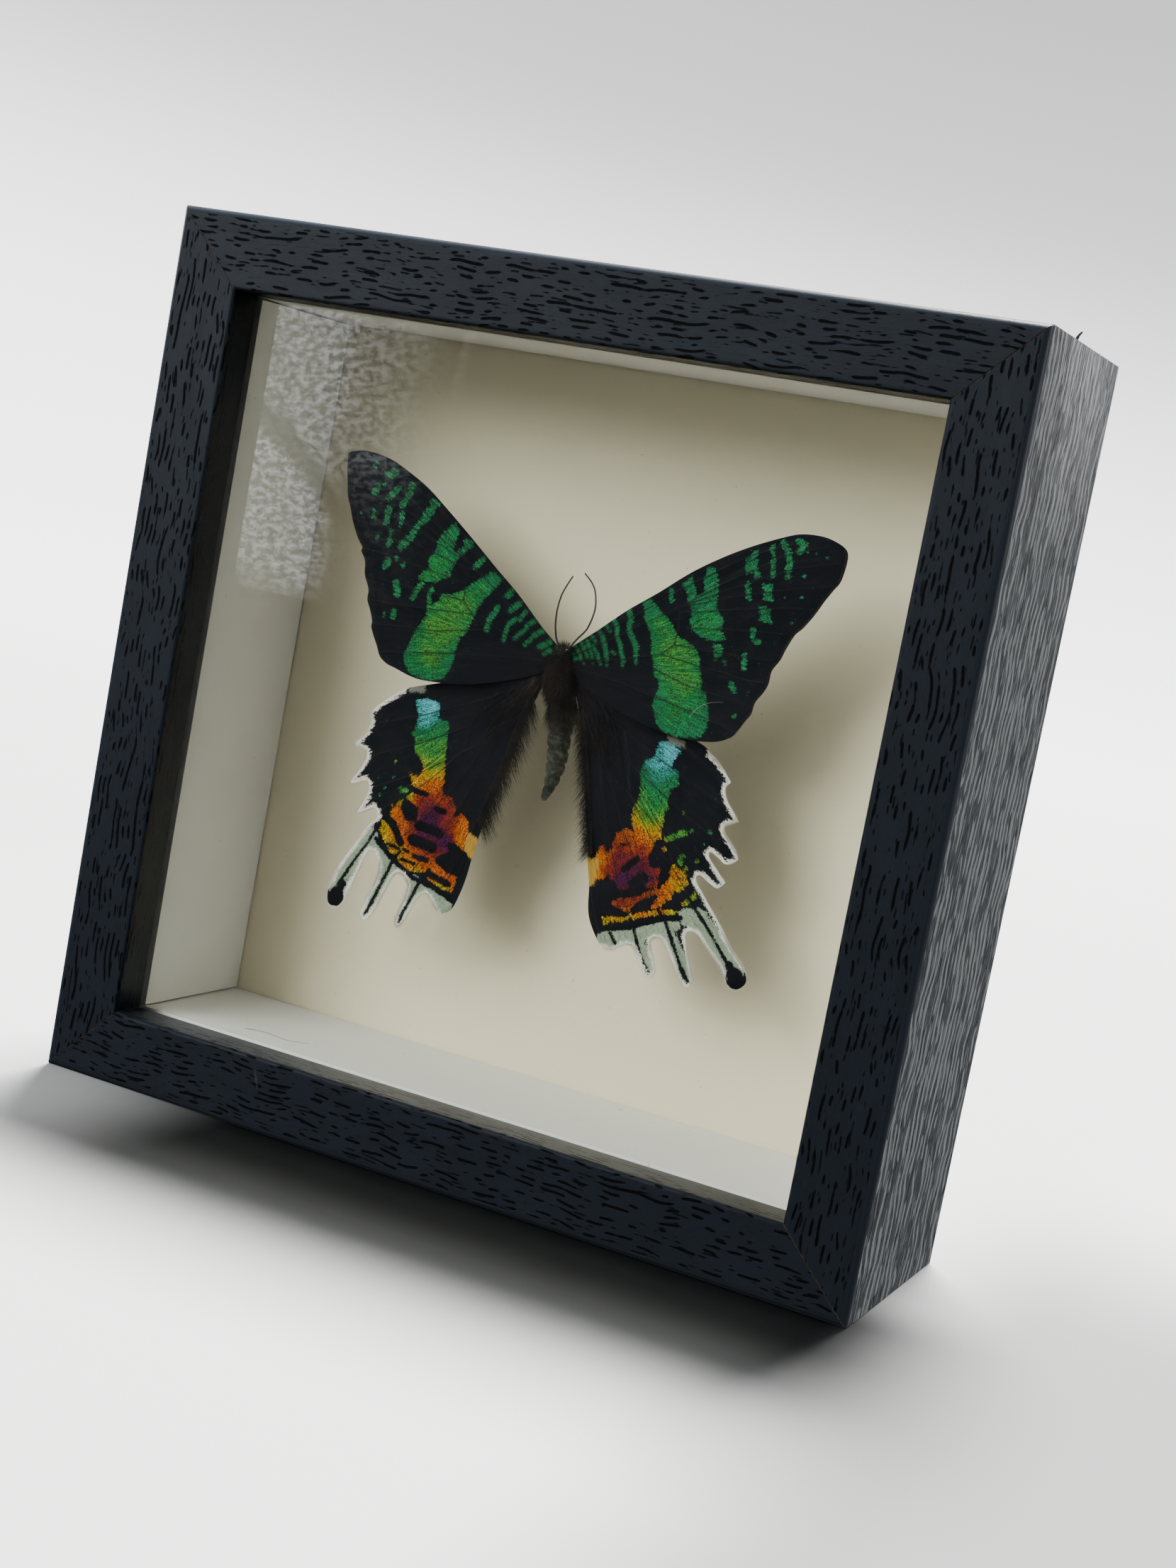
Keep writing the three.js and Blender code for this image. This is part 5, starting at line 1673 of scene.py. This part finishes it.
class SPECIMEN_OT_body(bpy.types.Operator):
    """Make the head, eyes, thorax and abdomen and cover them with fur"""

    bl_idname = "specimen.body"
    bl_label = "Body"

    def execute(self, context):
        look = context.scene.specimen_moth
        hide = skin_finish("dark hide", (0.012, 0.01, 0.009), 0.6)
        thorax = ringed("thorax", ball_rows(*THORAX, 28), 40, [hide])
        settle(thorax, "moth_fur", "moth_body")
        head = ringed("head", ball_rows(*HEAD, 18), 28, [hide])
        settle(head, "moth_fur")
        eye = skin_finish("eye", (0.02, 0.016, 0.014), 0.15)
        for side, sign in (("right", 1), ("left", -1)):
            ball = ball_rows((0.85 * sign - 0.1, -0.6, 1.9), (0.6, 0.7, 0.65), 16)
            settle(ringed(f"eye_{side}", ball, 24, [eye]), "moth_fur")
        self.abdomen()
        self.fur(look)
        return {"FINISHED"}

    def abdomen(self):
        stations = [
            (0, 1.2, -4.2, 2.3), (0.3, 2.1, -9, 2.25), (0.6, 2.8, -13, 2.05), (0.7, 3.1, -17, 1.75),
            (0.3, 3.3, -20.5, 1.25), (-0.3, 3.3, -23, 0.7), (-0.5, 3.3, -23.9, 0.3),
        ]
        line = catmull_rom(stations, 18)
        joints = [-7.2, -9.8, -12.3, -14.8, -17.2, -19.4, -21.3]
        near = np.min([np.abs(line[:, 2] - j) for j in joints], axis=0)
        groove = np.exp(-((near / 0.3) ** 2))
        slimmed = 1 - 0.16 * groove
        rows = [(x, y, z, r * s, 0.86 * r * s) for (x, y, z, r), s in zip(line, slimmed)]

        def shrivel(i, angle):
            return 1 + 0.035 * math.sin(3 * angle + 0.11 * i) + 0.02 * math.sin(7 * angle - 0.23 * i)

        sides = 44
        piece = ringed("abdomen", rows, sides, [abdomen_finish()], shrivel)
        add_field(piece.data, "joint", [*np.repeat(groove, sides), 0.0, 0.0])
        settle(piece, "moth_fur")

    def fur(self, look):
        group = surface_hair_group()
        dark = hair_finish("thorax fur", (0.005, 0.0042, 0.004), (0.032, 0.02, 0.012))
        fawn = hair_finish("brown tufts", (0.01, 0.007, 0.005), (0.06, 0.04, 0.026))
        grey = hair_finish("head scales", (0.008, 0.008, 0.008), (0.05, 0.048, 0.044))
        coats = [
            ("thorax_fur", THORAX, 34.0, 1.0, 0.028, 0.5, (0, -0.15, -0.85), dark),
            ("waist_fur", WAIST, 20.0, 1.9, 0.024, 0.25, (0.1, -0.1, -1.0), dark),
            ("brown_tuft_middle", MIDDLE_TUFT, 14.0, 1.0, 0.022, 0.4, (0, -0.2, -0.8), fawn),
            ("brown_tuft_left", LEFT_TUFT, 10.0, 1.0, 0.022, 0.2, (-0.3, -0.2, -1.0), fawn),
            ("head_fur", HEAD, 40.0, 0.6, 0.026, 0.9, (0.1, -0.1, 0.3), grey),
        ]
        for seed, (name, ball, density, tall, thick, rise, comb, material) in enumerate(coats):
            base = ringed("coat", ball_rows(*ball, 20), 28, [material])
            values = {
                "Density": density / MM**2, "Comb": comb, "Rise": rise, "Jitter": 0.25, "Bend": 0.2,
                "Length": tall * look.fur, "Thickness": thick * MM, "Seed": 40 + seed,
            }
            settle(grow_on(name, base, group, values, material), "moth_fur")
        faint = hair_finish("wing base hair", (0.003, 0.0026, 0.0026), (0.019, 0.0125, 0.009))
        self.wing_base_hair(look, group, faint)

    def wing_base_hair(self, look, group, material):
        """Long hairs that stream from the thorax over the bases of the hindwings."""
        corners = [(2.2, -2.2), (6, -4.2), (11, -6.5), (12, -10), (10.5, -15), (7.5, -13), (5, -9), (3, -5.5)]
        for seed, (side, sign) in enumerate((("right", 1), ("left", -1))):
            places = place_on_wing(np.array(corners, float), sign, HINDWING_RISE, HINDWING_BEHIND - 0.1)
            base = new_piece("patch", places, [tuple(range(len(corners)))[::-sign]], [], False)
            values = {
                "Density": 6.0 / MM**2, "Comb": (0.6 * sign, -0.06, -1.0), "Rise": 0.06, "Jitter": 0.3,
                "Bend": 0.1, "Length": 5.2 * MM, "Thickness": 0.02 * MM, "Seed": 60 + seed,
            }
            settle(grow_on(f"wing_base_hair_{side}", base, group, values, material), "moth_fur")


class SPECIMEN_OT_antennae(bpy.types.Operator):
    """Draw the two thin feelers"""

    bl_idname = "specimen.antennae"
    bl_label = "Antennae"

    def execute(self, context):
        group = feeler_group()
        skin = skin_finish("antenna", (0.012, 0.011, 0.011), 0.5)
        for side, path, sign in (("right", RIGHT_ANTENNA, 1), ("left", LEFT_ANTENNA, -1)):
            line = resampled(catmull_rom(path, 8), 0.1, closed=False)
            base = chain("feeler", place_on_wing(line, sign, 0.0, -0.9))
            values = {"Root": 0.16 * MM, "Tip": 0.12 * MM, "Ring pitch": 0.11 * MM}
            settle(grow_on(f"feeler_{side}", base, group, values, skin), "antenna", f"antenna_{side}")
        return {"FINISHED"}


class SPECIMEN_OT_dirt(bpy.types.Operator):
    """Lay the stray fibres and raise the burr of the foil that the photo shows"""

    bl_idname = "specimen.dirt"
    bl_label = "Fibres and burr"

    def execute(self, context):
        group = feeler_group()
        dust = skin_finish("dust", (0.2, 0.19, 0.17), 0.7)
        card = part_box("spacer_bottom")[1].z + 0.0001
        wing = place_on_wing(
            np.array([(24.9, -4.3), (26.2, -2.4), (28.3, -1.2), (30.5, -0.7)]), 1, FOREWING_RISE, -0.45
        )
        strands = {
            "dust_fibre_card": (
                [
                    (-0.0445, -0.008, card), (-0.0405, -0.0068, card), (-0.0362, -0.0075, card),
                    (-0.0325, -0.0052, card),
                ],
                0.05, dust, None,
            ),
            "dust_fibre_wing": (wing, 0.035, dust, None),
            "foil_burr": (
                [(0.0746, -0.0066, 0.1497), (0.0748, -0.0064, 0.1506), (0.0752, -0.0061, 0.1513)],
                0.28, skin_finish("torn foil", (0.012, 0.013, 0.015), 0.6), "frame_foil",
            ),
        }
        for name, (path, thick, finish, slot) in strands.items():
            base = chain("strand", catmull_rom([tuple(p) for p in path], 12))
            values = {"Root": thick * MM, "Tip": 0.5 * thick * MM, "Ring pitch": 0.2 * MM}
            settle(grow_on(name, base, group, values, finish), slot)
        return {"FINISHED"}


OPERATORS = (
    SPECIMEN_OT_stage,
    SPECIMEN_OT_rails,
    SPECIMEN_OT_filling,
    SPECIMEN_OT_back,
    SPECIMEN_OT_wings,
    SPECIMEN_OT_fringes,
    SPECIMEN_OT_body,
    SPECIMEN_OT_antennae,
    SPECIMEN_OT_dirt,
)
SETTINGS = {
    "specimen_frame": FrameSettings,
    "specimen_filling": FillingSettings,
    "specimen_moth": MothSettings,
    "specimen_stage": StageSettings,
}


class SPECIMEN_PT_sidebar(bpy.types.Panel):
    """The specimen's pieces, in the order in which they are made"""

    bl_idname = "SPECIMEN_PT_sidebar"
    bl_label = "Framed specimen"
    bl_space_type = "VIEW_3D"
    bl_region_type = "UI"
    bl_category = "Specimen"

    def draw(self, context):
        for operator in OPERATORS:
            self.layout.operator(operator.bl_idname)
        for name, group in SETTINGS.items():
            box = self.layout.box()
            for label in group.__annotations__:
                box.prop(getattr(context.scene, name), label)


def register():
    for group in SETTINGS.values():
        bpy.utils.register_class(group)
    for operator in (*OPERATORS, SPECIMEN_PT_sidebar):
        bpy.utils.register_class(operator)
    for name, group in SETTINGS.items():
        setattr(bpy.types.Scene, name, PointerProperty(type=group))


def unregister():
    for name in SETTINGS:
        delattr(bpy.types.Scene, name)
    for operator in (SPECIMEN_PT_sidebar, *reversed(OPERATORS)):
        bpy.utils.unregister_class(operator)
    for group in reversed(SETTINGS.values()):
        bpy.utils.unregister_class(group)


def main():
    register()
    bpy.ops.specimen.stage()
    bpy.ops.specimen.rails()
    bpy.ops.specimen.filling()
    bpy.ops.specimen.back()
    bpy.ops.specimen.wings()
    bpy.ops.specimen.fringes()
    bpy.ops.specimen.body()
    bpy.ops.specimen.antennae()
    bpy.ops.specimen.dirt()


if __name__ == "__main__":
    main()
